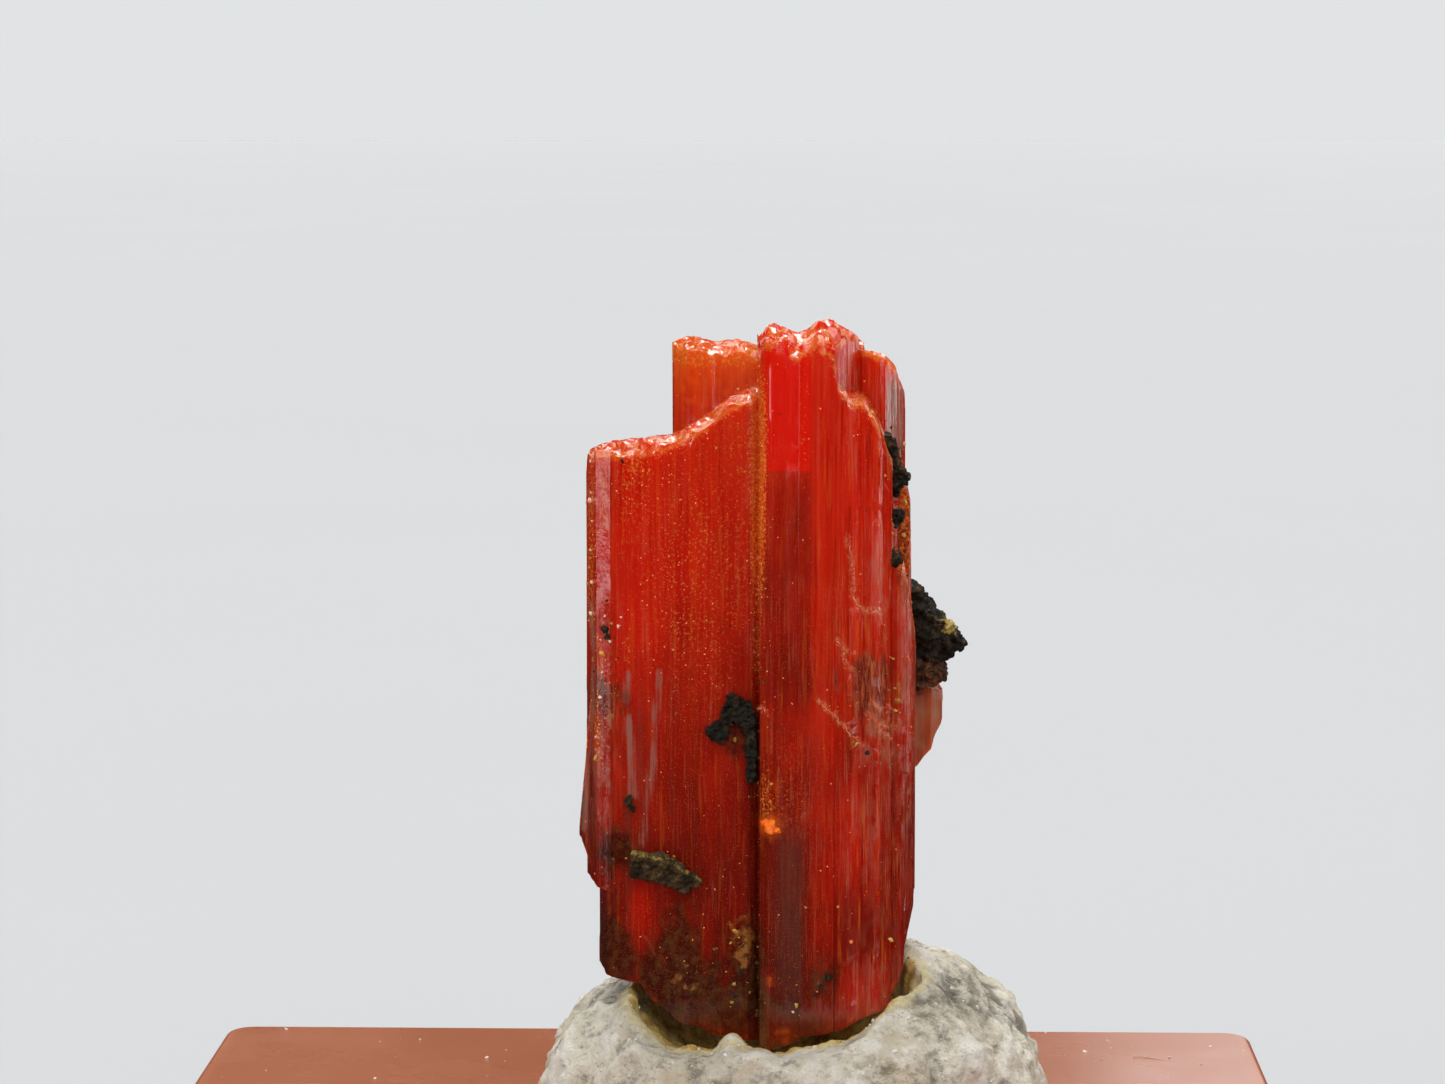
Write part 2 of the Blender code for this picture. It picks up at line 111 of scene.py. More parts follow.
PRISMS = [
    # Broad blade on the left, nearly smooth in front
    Prism(
        plan=[(-3.3, -0.8), (-3.04, -1.75), (-2.75, -2.15), (0.72, -2.05), (1.25, -1.6),
              (1.25, 1.4), (-2.5, 1.55), (-3.1, 0.95)],
        crown=[(-3.6, 25.92), (-3.15, 26.08), (-1.72, 26.26), (-1.28, 26.34),
               (-0.54, 26.74), (0.12, 27.27), (0.91, 27.64), (1.35, 27.7)],
        slope=-0.05, tilt=3.5, strides=(0.06, 0.24), depth=0.03, bevel=0.22,
    ),
    # Rib on the blade's left edge, which mirrors the light
    Prism(
        plan=[(-3.6, -0.85), (-3.27, -1.72), (-2.8, -1.95), (-2.6, 0.75), (-3.36, 0.62)],
        crown=[(-3.7, 25.86), (-3.2, 26.06), (-2.5, 26.12)],
        slope=-0.05, tilt=2.5, strides=(0.07, 0.16), depth=0.02, bevel=0.16,
        foot=[(-3.9, 14.75), (-3.3, 14.35), (-2.7, 14.2)],
    ),
    # Bulge low on the left edge
    Prism(
        plan=[(-3.83, -0.7), (-3.64, -1.25), (-3.05, -1.35), (-3.05, 0.35), (-3.62, 0.2)],
        crown=[(-3.8, 15.9), (-3.6, 17.9), (-3.45, 19.6), (-2.95, 19.9)],
        slope=0.0, tilt=7.0, strides=(0.06, 0.15), depth=0.05,
        foot=[(-3.8, 15.55), (-3.6, 15.1), (-3.4, 14.6), (-2.95, 14.5)],
    ),
    # Prism behind the left blade, which stands above it
    Prism(
        plan=[(-1.42, 2.3), (-1.36, 1.3), (-1.0, 0.7), (1.3, 0.72), (1.75, 1.6),
              (1.3, 2.95), (0.4, 3.25), (-1.0, 3.0)],
        crown=[(-1.5, 28.75), (-0.95, 29.0), (-0.25, 28.8), (0.3, 28.9),
               (0.95, 28.7), (1.8, 28.55)],
        slope=-0.06, tilt=6.0, strides=(0.08, 0.22), depth=0.05, bevel=0.3,
    ),
    Prism(
        plan=[(0.9, 1.7), (1.6, 0.8), (3.0, 0.9), (3.7, 1.6), (3.3, 2.75),
              (2.1, 3.1), (1.15, 2.8)],
        crown=[(0.8, 25.6), (1.72, 25.95), (2.35, 25.1), (2.9, 24.7), (3.85, 23.9)],
        slope=-0.2, tilt=12.0, strides=(0.06, 0.2), depth=0.08,
    ),
    # Clear window left of the middle
    Prism(
        plan=[(0.98, -1.85), (1.06, -2.38), (1.34, -2.66), (2.14, -2.76), (2.35, -1.2),
              (2.2, 1.0), (1.0, 0.95)],
        crown=[(0.9, 28.95), (1.04, 29.1), (1.22, 29.31), (1.41, 29.33), (1.66, 29.26), (1.84, 29.12),
               (2.06, 29.06), (2.5, 29.1)],
        slope=-0.08, tilt=1.6, strides=(0.08, 0.22), depth=0.02,
        ledges=[(1.2, 2.4, 25.55, 31.0, -0.008)], bevel=0.58,
    ),
    # Tall middle prism
    Prism(
        plan=[(1.98, -2.4), (2.08, -2.82), (3.02, -2.8), (3.8, -1.38), (3.6, 1.65),
              (1.9, 2.05), (1.55, 0.55)],
        crown=[(1.9, 29.04), (2.27, 29.18), (2.56, 29.38), (2.83, 29.44), (3.05, 29.38), (3.17, 29.24),
               (3.45, 29.1), (3.6, 28.98), (3.8, 28.84)],
        slope=-0.08, tilt=6.0, strides=(0.05, 0.18), depth=0.045, bevel=0.55,
    ),
    # Front layer on the right, broken off in a long slope
    Prism(
        plan=[(2.5, -2.1), (2.62, -2.76), (4.2, -2.72), (4.5, -2.48), (4.56, -0.95),
              (2.45, -0.75)],
        crown=[(2.6, 28.8), (2.98, 28.6), (3.08, 27.8), (3.4, 27.45), (3.79, 27.32),
               (4.07, 26.87), (4.33, 26.3), (4.7, 25.5)],
        slope=0.1, tilt=12.0, strides=(0.045, 0.17), depth=0.07,
        ledges=[(3.46, 4.3, 21.95, 24.6, -0.028), (3.6, 4.2, 19.9, 21.7, -0.018)], bevel=0.08,
    ),
    # Striated prisms behind it
    Prism(
        plan=[(3.3, -0.7), (3.74, -1.72), (4.32, -1.7), (4.8, -0.95), (4.9, 0.6),
              (4.35, 1.75), (2.8, 1.95), (2.6, 0.4)],
        crown=[(2.5, 29.0), (3.26, 28.96), (3.73, 28.84), (4.01, 28.76), (4.26, 28.68), (4.45, 28.5),
               (4.64, 28.28), (4.76, 28.0), (4.95, 27.63)],
        slope=-0.15, tilt=10.0, strides=(0.05, 0.18), depth=0.07,
    ),
    Prism(
        plan=[(4.0, -2.3), (4.72, -2.28), (5.08, -1.72), (5.2, -0.25), (4.98, 1.15),
              (4.2, 1.5), (3.6, 0.4)],
        crown=[(3.5, 23.9), (4.53, 23.34), (4.85, 23.08), (5.02, 22.2), (5.12, 21.3),
               (5.3, 20.6)],
        slope=-0.1, tilt=13.0, strides=(0.05, 0.16), depth=0.08,
    ),
    Prism(
        plan=[(4.2, -1.1), (5.02, -1.0), (5.05, 0.4), (4.6, 1.05), (4.1, 0.6)],
        crown=[(4.0, 26.4), (4.7, 26.1), (4.9, 25.4), (5.1, 24.6)],
        slope=-0.1, tilt=14.0, strides=(0.05, 0.18), depth=0.08,
    ),
]

SIDE_PRISM = Prism(
    plan=[(4.62, 1.25), (4.95, 0.55), (5.62, 0.5), (5.97, 1.1), (5.66, 1.82), (5.0, 1.9)],
    crown=[(4.4, 19.62), (5.4, 19.55), (6.2, 19.3)],
    slope=0.0, tilt=8.0, strides=(0.07, 0.2), depth=0.05,
    foot=[(4.4, 17.0), (5.25, 17.25), (5.62, 17.7), (6.05, 18.6)],
)


# Meshes and objects

def add_object(name, mesh):
    made = bpy.data.objects.new(name, mesh)
    bpy.context.scene.collection.objects.link(made)
    return made


def mesh_of(name, points, faces):
    mesh = bpy.data.meshes.new(name)
    mesh.from_pydata(np.asarray(points).tolist(), [], faces)
    mesh.update()
    return mesh


def settle(made):
    """Turns an object's modifiers into plain mesh."""
    graph = bpy.context.evaluated_depsgraph_get()
    mesh = bpy.data.meshes.new_from_object(made.evaluated_get(graph))
    made.modifiers.clear()
    made.data = mesh
    return made


def add_skin(made, voxel):
    """Grows one closed, evenly fine skin over an object."""
    skin = made.modifiers.new("skin", "REMESH")
    skin.mode = "VOXEL"
    skin.voxel_size = voxel


def triples(items, name):
    flat = np.empty(len(items) * 3)
    items.foreach_get(name, flat)
    return flat.reshape(-1, 3)


def points_of(mesh):
    return triples(mesh.vertices, "co")


def normals_of(mesh):
    return triples(mesh.vertex_normals, "vector")


def rays_into(mesh):
    """A search tree that finds where a ray meets the mesh."""
    return BVHTree.FromPolygons(points_of(mesh).tolist(), [tuple(p.vertices) for p in mesh.polygons])


def grid_faces(rows, count, closed):
    """Faces with four corners between rows of points, where closed rows join up with themselves."""
    faces = []
    for row in range(rows - 1):
        for i in range(count if closed else count - 1):
            a, b = row * count + i, row * count + (i + 1) % count
            faces.append((a, b, b + count, a + count))
    return faces


def move_points(mesh, points):
    mesh.vertices.foreach_set("co", np.asarray(points, float).ravel())
    mesh.update()


def keep_value(mesh, name, values):
    """Stores one number a point, for the finish to read."""
    layer = mesh.attributes.new(name, "FLOAT", "POINT")
    layer.data.foreach_set("value", np.clip(values, 0.0, 1.0).astype(np.float32))


def ripple(points, size, seed, octaves=1):
    """Smooth noise from about -1 to 1 whose lumps are about size across."""
    shift = Vector((seed * 7.31, seed * 3.77, seed * 5.13))
    spots = (Vector(p) / size + shift for p in points)
    if octaves == 1:
        return np.array([noise.noise(s) for s in spots])
    return np.array([noise.fractal(s, 1.0, 2.0, octaves) for s in spots])


# Striated prisms

def splinters(prism, rng):
    """Small tilted break faces: a function of x and y that gives their height."""
    margin = 0.3
    low = np.min(prism.plan, axis=0) - margin
    high = np.max(prism.plan, axis=0) + margin
    count = int(np.prod(high - low) * SPLINTERS_PER_MM2)
    sites = rng.uniform(low, high, (count, 2))
    tilts = rng.normal(0.0, 0.42, (count, 2))
    lifts = rng.normal(0.0, 0.045, count)

    def height(spots):
        away = spots[:, None, :] - sites[None, :, :]
        near = np.argmin((away ** 2).sum(2), axis=1)
        chosen = away[np.arange(len(spots)), near]
        return np.clip(lifts[near] + (chosen * tilts[near]).sum(1), -0.16, 0.09)

    return height


def walk_round(prism, rng):
    """The columns of a prism's wall: place, outward direction, depth of striation, room to the corner."""
    places, outward, depths, rooms = [], [], [], []
    depth = -0.3 * prism.depth
    corners = prism.plan
    for start, end in zip(corners, corners[1:] + corners[:1]):
        along = np.subtract(end, start)
        length = math.hypot(*along)
        out = np.array((along[1], -along[0])) / length
        done = 0.0
        while done < length - 0.6 * prism.strides[0]:
            places.append(np.add(start, along * done / length))
            outward.append(out)
            depths.append(depth)
            rooms.append(min(done, length - done))
            stride = rng.uniform(*prism.strides)
            slant = math.tan(math.radians(rng.normal(0.0, prism.tilt)))
            step = stride * slant
            if not -prism.depth < depth + step < MOST_PROUD:
                step = -step
            depth = min(max(depth + step, -prism.depth), MOST_PROUD)
            done += stride
    outward = np.array(outward)
    rooms = np.array(rooms)
    both = outward + np.roll(outward, 1, axis=0)
    mitre = both / np.maximum((both ** 2).sum(1), 1.0)[:, None] * 2.0
    outward[rooms == 0.0] = mitre[rooms == 0.0]
    return np.array(places), outward, np.array(depths), rooms


def rough_foot(prism, spots, seed):
    """Heights at which the prism ends below."""
    roughness = ripple(np.column_stack([spots, spots[:, 0]]), 0.5, seed)
    return prism.bottom(*spots.T) + FOOT_ROUGHNESS * roughness


def inside(spots, ring):
    """Which spots lie inside a closed ring, both in plan."""
    x, y = spots[:, 0, None], spots[:, 1, None]
    x1, y1 = ring[:, 0], ring[:, 1]
    x2, y2 = np.roll(x1, -1), np.roll(y1, -1)
    crosses = (y1 > y) != (y2 > y)
    with np.errstate(divide="ignore", invalid="ignore"):
        at = (x2 - x1) * (y - y1) / (y2 - y1) + x1
    return (crosses & (x < at)).sum(1) % 2 == 1


def cap(ring, step, rng):
    """Fills a ring in plan with small triangles and returns the added spots and the triangles."""
    low, high = ring.min(0), ring.max(0)
    ticks = (np.arange(a, b, step) for a, b in zip(low, high))
    grid = np.stack(np.meshgrid(*ticks), -1).reshape(-1, 2)
    grid = grid + rng.uniform(-0.33, 0.33, grid.shape) * step
    grid = grid[inside(grid, ring)]
    gaps = np.sqrt(((grid[:, None, :] - ring[None, :, :]) ** 2).sum(2)).min(1)
    grid = grid[gaps > 0.45 * step]
    spots = np.vstack([ring, grid])
    filled = delaunay_2d_cdt([Vector(s) for s in spots], [], [range(len(ring))], 1, 1e-7)
    origin = [found[0] if found else -1 for found in filled[3]]
    triangles = [tuple(origin[i] for i in face) for face in filled[2]]
    if len(filled[0]) != len(spots) or min(origin) < 0:
        raise ValueError("a prism's outline crosses itself")
    return grid, triangles


def etched(x, y, z):
    """How far etching and knocks have eaten into the front, in millimetres."""
    patch = np.exp(-((x - 3.95) / 0.75) ** 2 - ((z - 19.2) / 1.4) ** 2)
    patch = np.maximum(0.6 * patch, 0.16 * np.exp(-((x + 0.7) / 0.9) ** 4 - ((z - 12.0) / 1.3) ** 4))
    patch = np.maximum(patch, 0.16 * np.exp(-((x - 3.6) / 0.9) ** 4 - ((z - 12.3) / 1.2) ** 4))
    return patch * (y < -0.5)


def growth_steps(heights, low, high, depth, rng):
    """Long narrow fields that stand a little higher or lower, with pointed ends."""
    count = heights.shape[1]
    push = np.zeros(heights.shape)
    for _ in range(int(count * GROWTH_STEPS_PER_COLUMN)):
        centre = rng.integers(count)
        reach = rng.integers(1, 6)
        middle = rng.uniform(low, high)
        half = rng.uniform(0.4, 2.8)
        lift = rng.uniform(-0.55, 0.25) * depth
        off = np.abs((np.arange(count) - centre + count // 2) % count - count // 2)
        push += lift * (np.abs(heights - middle) < half * (1.0 - off / (reach + 1.0)))
    return push


def wall_faces(rows, count):
    """Two triangles for each cell of a closed wall, split the other way in every second cell."""
    faces = []
    for n, (a, b, c, d) in enumerate(grid_faces(rows, count, closed=True)):
        odd = (n // count + n % count) % 2
        faces += [(a, b, c), (a, c, d)] if odd else [(a, b, d), (b, c, d)]
    return faces


def striated_prism(name, prism, seed):
    """One prism as a closed shell: striated walls, a splintery top and a rough foot."""
    rng = np.random.default_rng(seed)
    places, outward, depths, rooms = walk_round(prism, rng)
    count = len(places)
    breaks = splinters(prism, rng)
    chips = np.abs(ripple(np.column_stack([places * 3.1, np.full(count, seed)]), 1.0, 1))
    chips = np.clip(chips * 2.2 - 0.25, 0.0, 1.0) * rng.uniform(0.02, 0.15, count)
    top = prism.top(*places.T) + breaks(places) - 0.5 * chips
    foot = rough_foot(prism, places, seed)

    rows = max(4, int((top.max() - foot.min()) / ROW_HEIGHT))
    share = np.linspace(0.0, 1.0, rows)[:, None]
    plain_top = top - RIM_DROPS[0]
    heights = foot + (plain_top - foot) * share
    heights = np.vstack([heights] + [top - drop for drop in RIM_DROPS[1:]])
    total = len(heights)

    arc = np.cumsum(np.hypot(*(places - np.roll(places, 1, axis=0)).T))
    level = np.full(total * count, seed)
    field = np.column_stack([np.tile(arc, total) * 2.4, heights.ravel() * 0.22, level])
    drift = ripple(field, 1.0, 2).reshape(total, count)
    field[:, 0] *= 3.0
    fine = ripple(field, 1.0, 5).reshape(total, count)
    push = depths * (1.0 + 0.7 * drift) + 0.35 * prism.depth * fine

    push += growth_steps(heights, foot.min(), top.max(), prism.depth, rng)
    for left, right, low, high, lift in prism.ledges:
        held = (places[:, 0] > left) & (places[:, 0] < right) & (outward[:, 1] < -0.5)
        push += lift * (held & (heights > low) & (heights < high))

    x, y = np.broadcast_to(places.T[:, None, :], (2, total, count))
    eaten = etched(x, y, heights) * 0.13
    rough = rng.uniform(0.0, 1.0, (total, count)) * (0.55 + 0.45 * fine)
    push = push - eaten * rough
    push[-len(RIM_CHIP):] -= np.outer(RIM_CHIP, chips)
    push = np.clip(push, -0.03 - 0.6 * rooms, MOST_PROUD)
    spots = places[None] + outward[None] * push[:, :, None]

    wall = np.dstack([spots, heights]).reshape(-1, 3)
    faces = wall_faces(total, count)
    upper, upper_faces = cap(spots[-1], CAP_STEP, rng)
    upper_z = prism.top(*upper.T) + breaks(upper) + rng.normal(0.0, 0.012, len(upper))
    lower, lower_faces = cap(spots[0], 2.2 * CAP_STEP, rng)
    points = np.vstack([wall, np.column_stack([upper, upper_z]),
                        np.column_stack([lower, rough_foot(prism, lower, seed)])])
    first_upper = (total - 1) * count
    for face in upper_faces:
        faces.append(tuple(first_upper + i if i < count else len(wall) + i - count for i in face))
    for face in lower_faces:
        turned = reversed(face)
        faces.append(tuple(i if i < count else len(wall) + len(upper) + i - count for i in turned))
    return add_object(name, mesh_of(name, points, faces))


def join_prisms(name, prisms, seed):
    """Grows the prisms together into one closed shell."""
    shells = [striated_prism(f"{name}_{i}", prism, seed + i) for i, prism in enumerate(prisms)]
    grown = shells[0]
    for other in shells[1:]:
        union = grown.modifiers.new("union", "BOOLEAN")
        union.operation = "UNION"
        union.solver = "MANIFOLD"
        union.object = other
        settle(grown)
        bpy.data.objects.remove(other)
    grown.name = name
    return grown


# Node trees

class Wire:
    """A number on its way through a node tree. Sums and products of wires add their own nodes."""

    def __init__(self, nodes, socket):
        self.nodes = nodes
        self.socket = socket

    def other(self, out):
        """Another output of the same node."""
        return Wire(self.nodes, self.socket.node.outputs[out])

    def maths(self, operation, first, second):
        return self.nodes.node("ShaderNodeMath", {"operation": operation}, {0: first, 1: second})

    def __add__(self, other):
        return self.maths("ADD", self, other)

    def __radd__(self, other):
        return self.maths("ADD", other, self)

    def __sub__(self, other):
        return self.maths("SUBTRACT", self, other)

    def __mul__(self, other):
        return self.maths("MULTIPLY", self, other)

    def __rmul__(self, other):
        return self.maths("MULTIPLY", other, self)

    def __pow__(self, other):
        return self.maths("POWER", self, other)


class Nodes:
    """A node tree in the making."""

    def __init__(self, tree):
        self.tree = tree

    def node(self, kind, settings=None, sockets=None, out=0):
        """Adds a node: its settings first, then a value or a wire for each named socket."""
        made = self.tree.nodes.new(kind)
        for setting, value in (settings or {}).items():
            setattr(made, setting, value)
        for key, value in (sockets or {}).items():
            if isinstance(value, Wire):
                self.tree.links.new(value.socket, made.inputs[key])
            else:
                made.inputs[key].default_value = value
        return Wire(self, made.outputs[out]) if made.outputs else made

    def vector(self, operation, first, second):
        """Vector maths, where a scale takes a number as its second value."""
        key = "Scale" if operation == "SCALE" else 1
        return self.node("ShaderNodeVectorMath", {"operation": operation}, {0: first, key: second})


# Finishes

class Finish(Nodes):
    """A material in the making: colours laid over one another, and relief upon relief."""

    def __init__(self, name):
        self.material = bpy.data.materials.new(name)
        self.material.use_nodes = True
        super().__init__(self.material.node_tree)
        self.tree.nodes.clear()
        self.place = self.vector("SCALE", self.node("ShaderNodeTexCoord", out="Object"), 1.0 / MM)
        self.colour = None
        self.relief = None

    def value(self, name):
        return self.node("ShaderNodeAttribute", {"attribute_name": name}, out="Fac")

    def stretched(self, stretch):
        return self.vector("MULTIPLY", self.place, stretch) if stretch else self.place

    def grain(self, scale, detail=2.0, stretch=None, rough=0.5, warp=0.0):
        """Noise from 0 to 1 with about scale lumps a millimetre."""
        sockets = {"Vector": self.stretched(stretch), "Scale": scale, "Detail": detail}
        sockets.update({"Roughness": rough, "Distortion": warp})
        return self.node("ShaderNodeTexNoise", None, sockets, out="Fac")

    def cells(self, scale):
        sockets = {"Vector": self.place, "Scale": scale}
        return self.node("ShaderNodeTexVoronoi", None, sockets, out="Distance")

    def step(self, wire, low, high, start=0.0, end=1.0):
        """Smoothly from start to end as the wire goes from low to high."""
        sockets = {"Value": wire, 1: low, 2: high, 3: start, 4: end}
        return self.node("ShaderNodeMapRange", {"interpolation_type": "SMOOTHSTEP"}, sockets)

    def patch(self, name, low, high, *noises):
        """A stored value, broken up by pairs of a noise and its depth, then stepped from 0 to 1."""
        value = self.value(name)
        for noise, depth in noises:
            value = value + (noise - 0.5) * depth
        return self.step(value, low, high)

    def mix(self, share, under, over):
        first = (*under, 1.0) if isinstance(under, tuple) else under
        second = (*over, 1.0) if isinstance(over, tuple) else over
        return self.node("ShaderNodeMix", {"data_type": "RGBA"}, {0: share, 6: first, 7: second}, out=2)

    def coat(self, share, colour):
        """Lays a colour over the others as far as share says."""
        self.colour = self.mix(share, self.colour, colour)

    def ramp(self, share, stops):
        wire = self.node("ShaderNodeValToRGB", None, {0: share}, out="Color")
        elements = wire.socket.node.color_ramp.elements
        while len(elements) < len(stops):
            elements.new(0.5)
        for element, (position, colour) in zip(elements, stops):
            element.position = position
            element.color = (*colour, 1.0)
        return wire

    def bump(self, height, depth, strength=1.0):
        """Adds relief on top of the relief so far."""
        sockets = {"Strength": strength, "Distance": depth * MM, "Height": height}
        if self.relief:
            sockets["Normal"] = self.relief
        self.relief = self.node("ShaderNodeBump", None, sockets, out="Normal")

    def surface(self, rough, sockets=None, scatter=None, absorption=None):
        """Ends the finish in one shader, and for see-through stuff in plain absorption inside."""
        sockets = {"Base Color": self.colour, "Roughness": rough, **(sockets or {})}
        if self.relief:
            sockets["Normal"] = self.relief
        if scatter:
            for name, value in zip(("Weight", "Scale", "Radius"), scatter):
                sockets["Subsurface " + name] = value
        ends = {"Surface": self.node("ShaderNodeBsdfPrincipled", None, sockets)}
        if absorption:
            colour, density = absorption
            sockets = {"Color": (*colour, 1.0), "Density": density}
            ends["Volume"] = self.node("ShaderNodeVolumeAbsorption", None, sockets)
        self.node("ShaderNodeOutputMaterial", None, ends)
        return self.material


def crocoite_finish():
    """Red crystal: lengthwise lines, painted orange glow on thin parts, painted golden glow and highlights
    on the crowns, painted shade low down, painted sheen and reflections, grime and scuffed patches.
    """
    f = Finish("crocoite red")
    streaks = f.grain(1.0, 4.0, stretch=(3.2, 3.2, 0.1), rough=0.62)
    threads = f.grain(1.0, 3.0, stretch=(12.0, 12.0, 0.32), rough=0.65)
    hairs = f.grain(1.0, 2.0, stretch=(25.0, 25.0, 0.85), rough=0.6)
    clouds = f.grain(0.55, 3.0)
    mottle = f.grain(2.2, 5.0, stretch=(1.0, 1.0, 0.45), rough=0.65)
    dust = f.grain(13.0, 3.0, rough=0.7)
    fibre = f.value("fibre")
    f.colour = f.mix(f.step(streaks, 0.33, 0.7), (0.62, 0.01, 0.0008), (0.84, 0.036, 0.003))
    f.coat(f.step(clouds, 0.3, 0.75) * 0.4, (0.8, 0.02, 0.0016))
    # Painted shade: darker red where the crystal is thick, mostly low down.
    f.coat(f.patch("deep", 0.05, 1.0, (streaks, 0.35), (mottle, 0.45)), (0.2, 0.006, 0.0012))
    # Painted glow: brighter red patches, high up and at the lower right foot.
    f.coat(f.value("bright"), (0.98, 0.014, 0.0008))
    f.coat(f.step(threads, 0.5, 0.3) * (fibre * 0.45 + 0.18), (0.25, 0.004, 0.001))
    # Painted glow: orange where the crystal is thin, as light shining through.
    f.coat(f.patch("thin", 0.22, 0.95, (streaks, 0.5)) * 0.85, (1.0, 0.15, 0.006))
    amber = f.step(f.grain(1.0, 3.0, stretch=(8.0, 8.0, 0.5), rough=0.6), 0.55, 0.72)
    f.coat(amber * (fibre * 0.55 + 0.15), (0.86, 0.15, 0.012))
    # Painted highlights: pale pink streaks along the striations, most on the right.
    pale = f.step(hairs + (threads - 0.5) * 0.6, 0.53, 0.74) * f.step(clouds, 0.36, 0.56)
    f.coat(pale * (fibre * 0.75 + 0.05), (0.62, 0.16, 0.085))
    # Golden dust, partly painted glints.
    gilt_and_glint = f.step(dust + (threads - 0.5) * 0.35, 0.54, 0.7)
    f.coat(gilt_and_glint * f.value("gilt_and_glint"), (0.88, 0.25, 0.035))
    height = f.node("ShaderNodeSeparateXYZ", None, {0: f.place}, out="Z")
    # Painted glow: brighter red in the clear window, above its ledge.
    f.coat(f.value("window") * f.step(height, 25.53, 25.57), (0.98, 0.01, 0.0007))
    # Painted reflection: dim purplish-grey bands low on the front.
    f.coat(f.value("painted_dim_reflection") * f.step(threads, 0.2, 0.6), (0.14, 0.042, 0.026))
    # Painted sheen: pale pinkish-grey bands on the left and at the upper right.
    f.coat(f.patch("painted_sheen", 0.3, 0.75, (threads, 1.1), (mottle, 0.9)) * 0.75, (0.42, 0.225, 0.17))
    # Pale pink scuffed patches, partly real wear, partly painted glints on the left edge and painted sheen
    # down the right edge.
    scuffs_and_sheen = f.value("scuff_and_sheen") * f.step(f.grain(5.0, 4.0, stretch=(1.0, 1.0, 0.35)), 0.42, 0.62)
    f.coat(scuffs_and_sheen * 0.7, (0.62, 0.2, 0.11))
    etch = f.patch("etch", 0.35, 0.85, (mottle, 1.7), (threads, 0.8))
    scratches = f.grain(1.0, 4.0, stretch=(12.0, 12.0, 1.4), rough=0.7, warp=0.2)
    f.coat(etch * 0.82, f.mix(f.step(scratches, 0.4, 0.62), (0.15, 0.012, 0.002), (0.58, 0.165, 0.055)))
    # Pale pink fray along the broken edges, partly painted highlight.
    frayed_highlight = f.patch("fray_and_edge_highlight", 0.45, 0.85, (f.grain(5.0, 4.0, rough=0.7), 1.9), (scratches, 1.2))
    f.coat(frayed_highlight * 0.66, f.mix(f.step(dust, 0.4, 0.62), (0.7, 0.075, 0.024), (0.88, 0.31, 0.14)))
    dirty = f.patch("grime", 0.3, 0.85, (mottle, 1.4), (threads, 0.4))
    browned = f.step(f.grain(3.4, 4.0, rough=0.6), 0.42, 0.64)
    f.coat(dirty * 0.9, f.mix(browned, (0.062, 0.008, 0.0018), (0.115, 0.044, 0.01)))
    # Golden orange: painted glow along the seam by the window and on the back prism's top, golden stain and
    # dust elsewhere.
    gold = f.patch("gold", 0.42, 0.8, (dust, 1.3), (threads, 0.5))
    f.coat(gold * 0.9, f.mix(f.step(dust, 0.45, 0.7), (0.92, 0.12, 0.004), (1.0, 0.42, 0.05)))
    # Painted glow and highlight: orange gold on the broken tops.
    rim = f.patch("rim", 0.42, 0.85, (f.grain(6.0, 4.0, rough=0.7), 1.6))
    f.coat(rim * 0.85, f.mix(f.step(dust, 0.42, 0.7), (0.95, 0.15, 0.008), (0.98, 0.42, 0.12)))
    ochre = f.patch("ochre", 0.45, 0.85, (f.grain(4.5, 4.0), 1.3))
    f.coat(ochre * 0.85, (0.5, 0.19, 0.022))
    # Painted sparkle: small gold and orange spots, in two sizes.
    many = f.step(f.grain(0.9, 2.0), 0.4, 0.62)
    painted_sparkle = many * f.step(f.cells(11.0), 0.17, 0.09) * f.step(f.grain(5.0, 0.0), 0.45, 0.6)
    f.coat(painted_sparkle * 0.55, (0.95, 0.26, 0.05))
    f.coat(f.step(f.cells(19.0), 0.28, 0.15) * f.step(clouds, 0.3, 0.55) * 0.36, (0.95, 0.16, 0.022))
    rough = f.step(threads, 0.3, 0.8, 0.08, 0.2)
    rough = rough + scuffs_and_sheen * 0.2 + etch * 0.1 + dirty * 0.04 + ochre * 0.2
    f.bump(f.grain(1.0, 2.0, stretch=(2.6, 2.6, 0.8)), 0.035, 0.8)
    f.bump(threads * (fibre * 0.8 + 0.4), 0.011)
    f.bump(f.grain(16.0, 3.0, stretch=(1.0, 1.0, 0.6)) + gilt_and_glint * 0.3 + rim * 0.5, 0.006, 0.7)
    return f.surface(rough, {"IOR": 1.9, "Transmission Weight": 0.3},
                     scatter=(0.75, 0.0009, (1.0, 0.1, 0.03)), absorption=((0.965, 0.12, 0.015), 3000.0))


def pale_finish():
    """The small side crystal: brownish pink and milky."""
    f = Finish("pale crocoite")
    streaks = f.grain(1.0, 4.0, stretch=(4.0, 4.0, 0.5), rough=0.6)
    f.colour = f.mix(f.step(streaks, 0.35, 0.7), (0.44, 0.075, 0.018), (0.6, 0.17, 0.06))
    f.coat(f.step(f.grain(2.0, 3.0), 0.5, 0.75) * 0.6, (0.5, 0.25, 0.12))
    f.bump(f.grain(9.0, 3.0, stretch=(1.0, 1.0, 0.4)), 0.01, 0.7)
    return f.surface(f.step(streaks, 0.3, 0.7, 0.28, 0.45), {"IOR": 1.8, "Transmission Weight": 0.2},
                     scatter=(0.6, 0.0006, (1.0, 0.3, 0.15)), absorption=((0.93, 0.4, 0.2), 900.0))


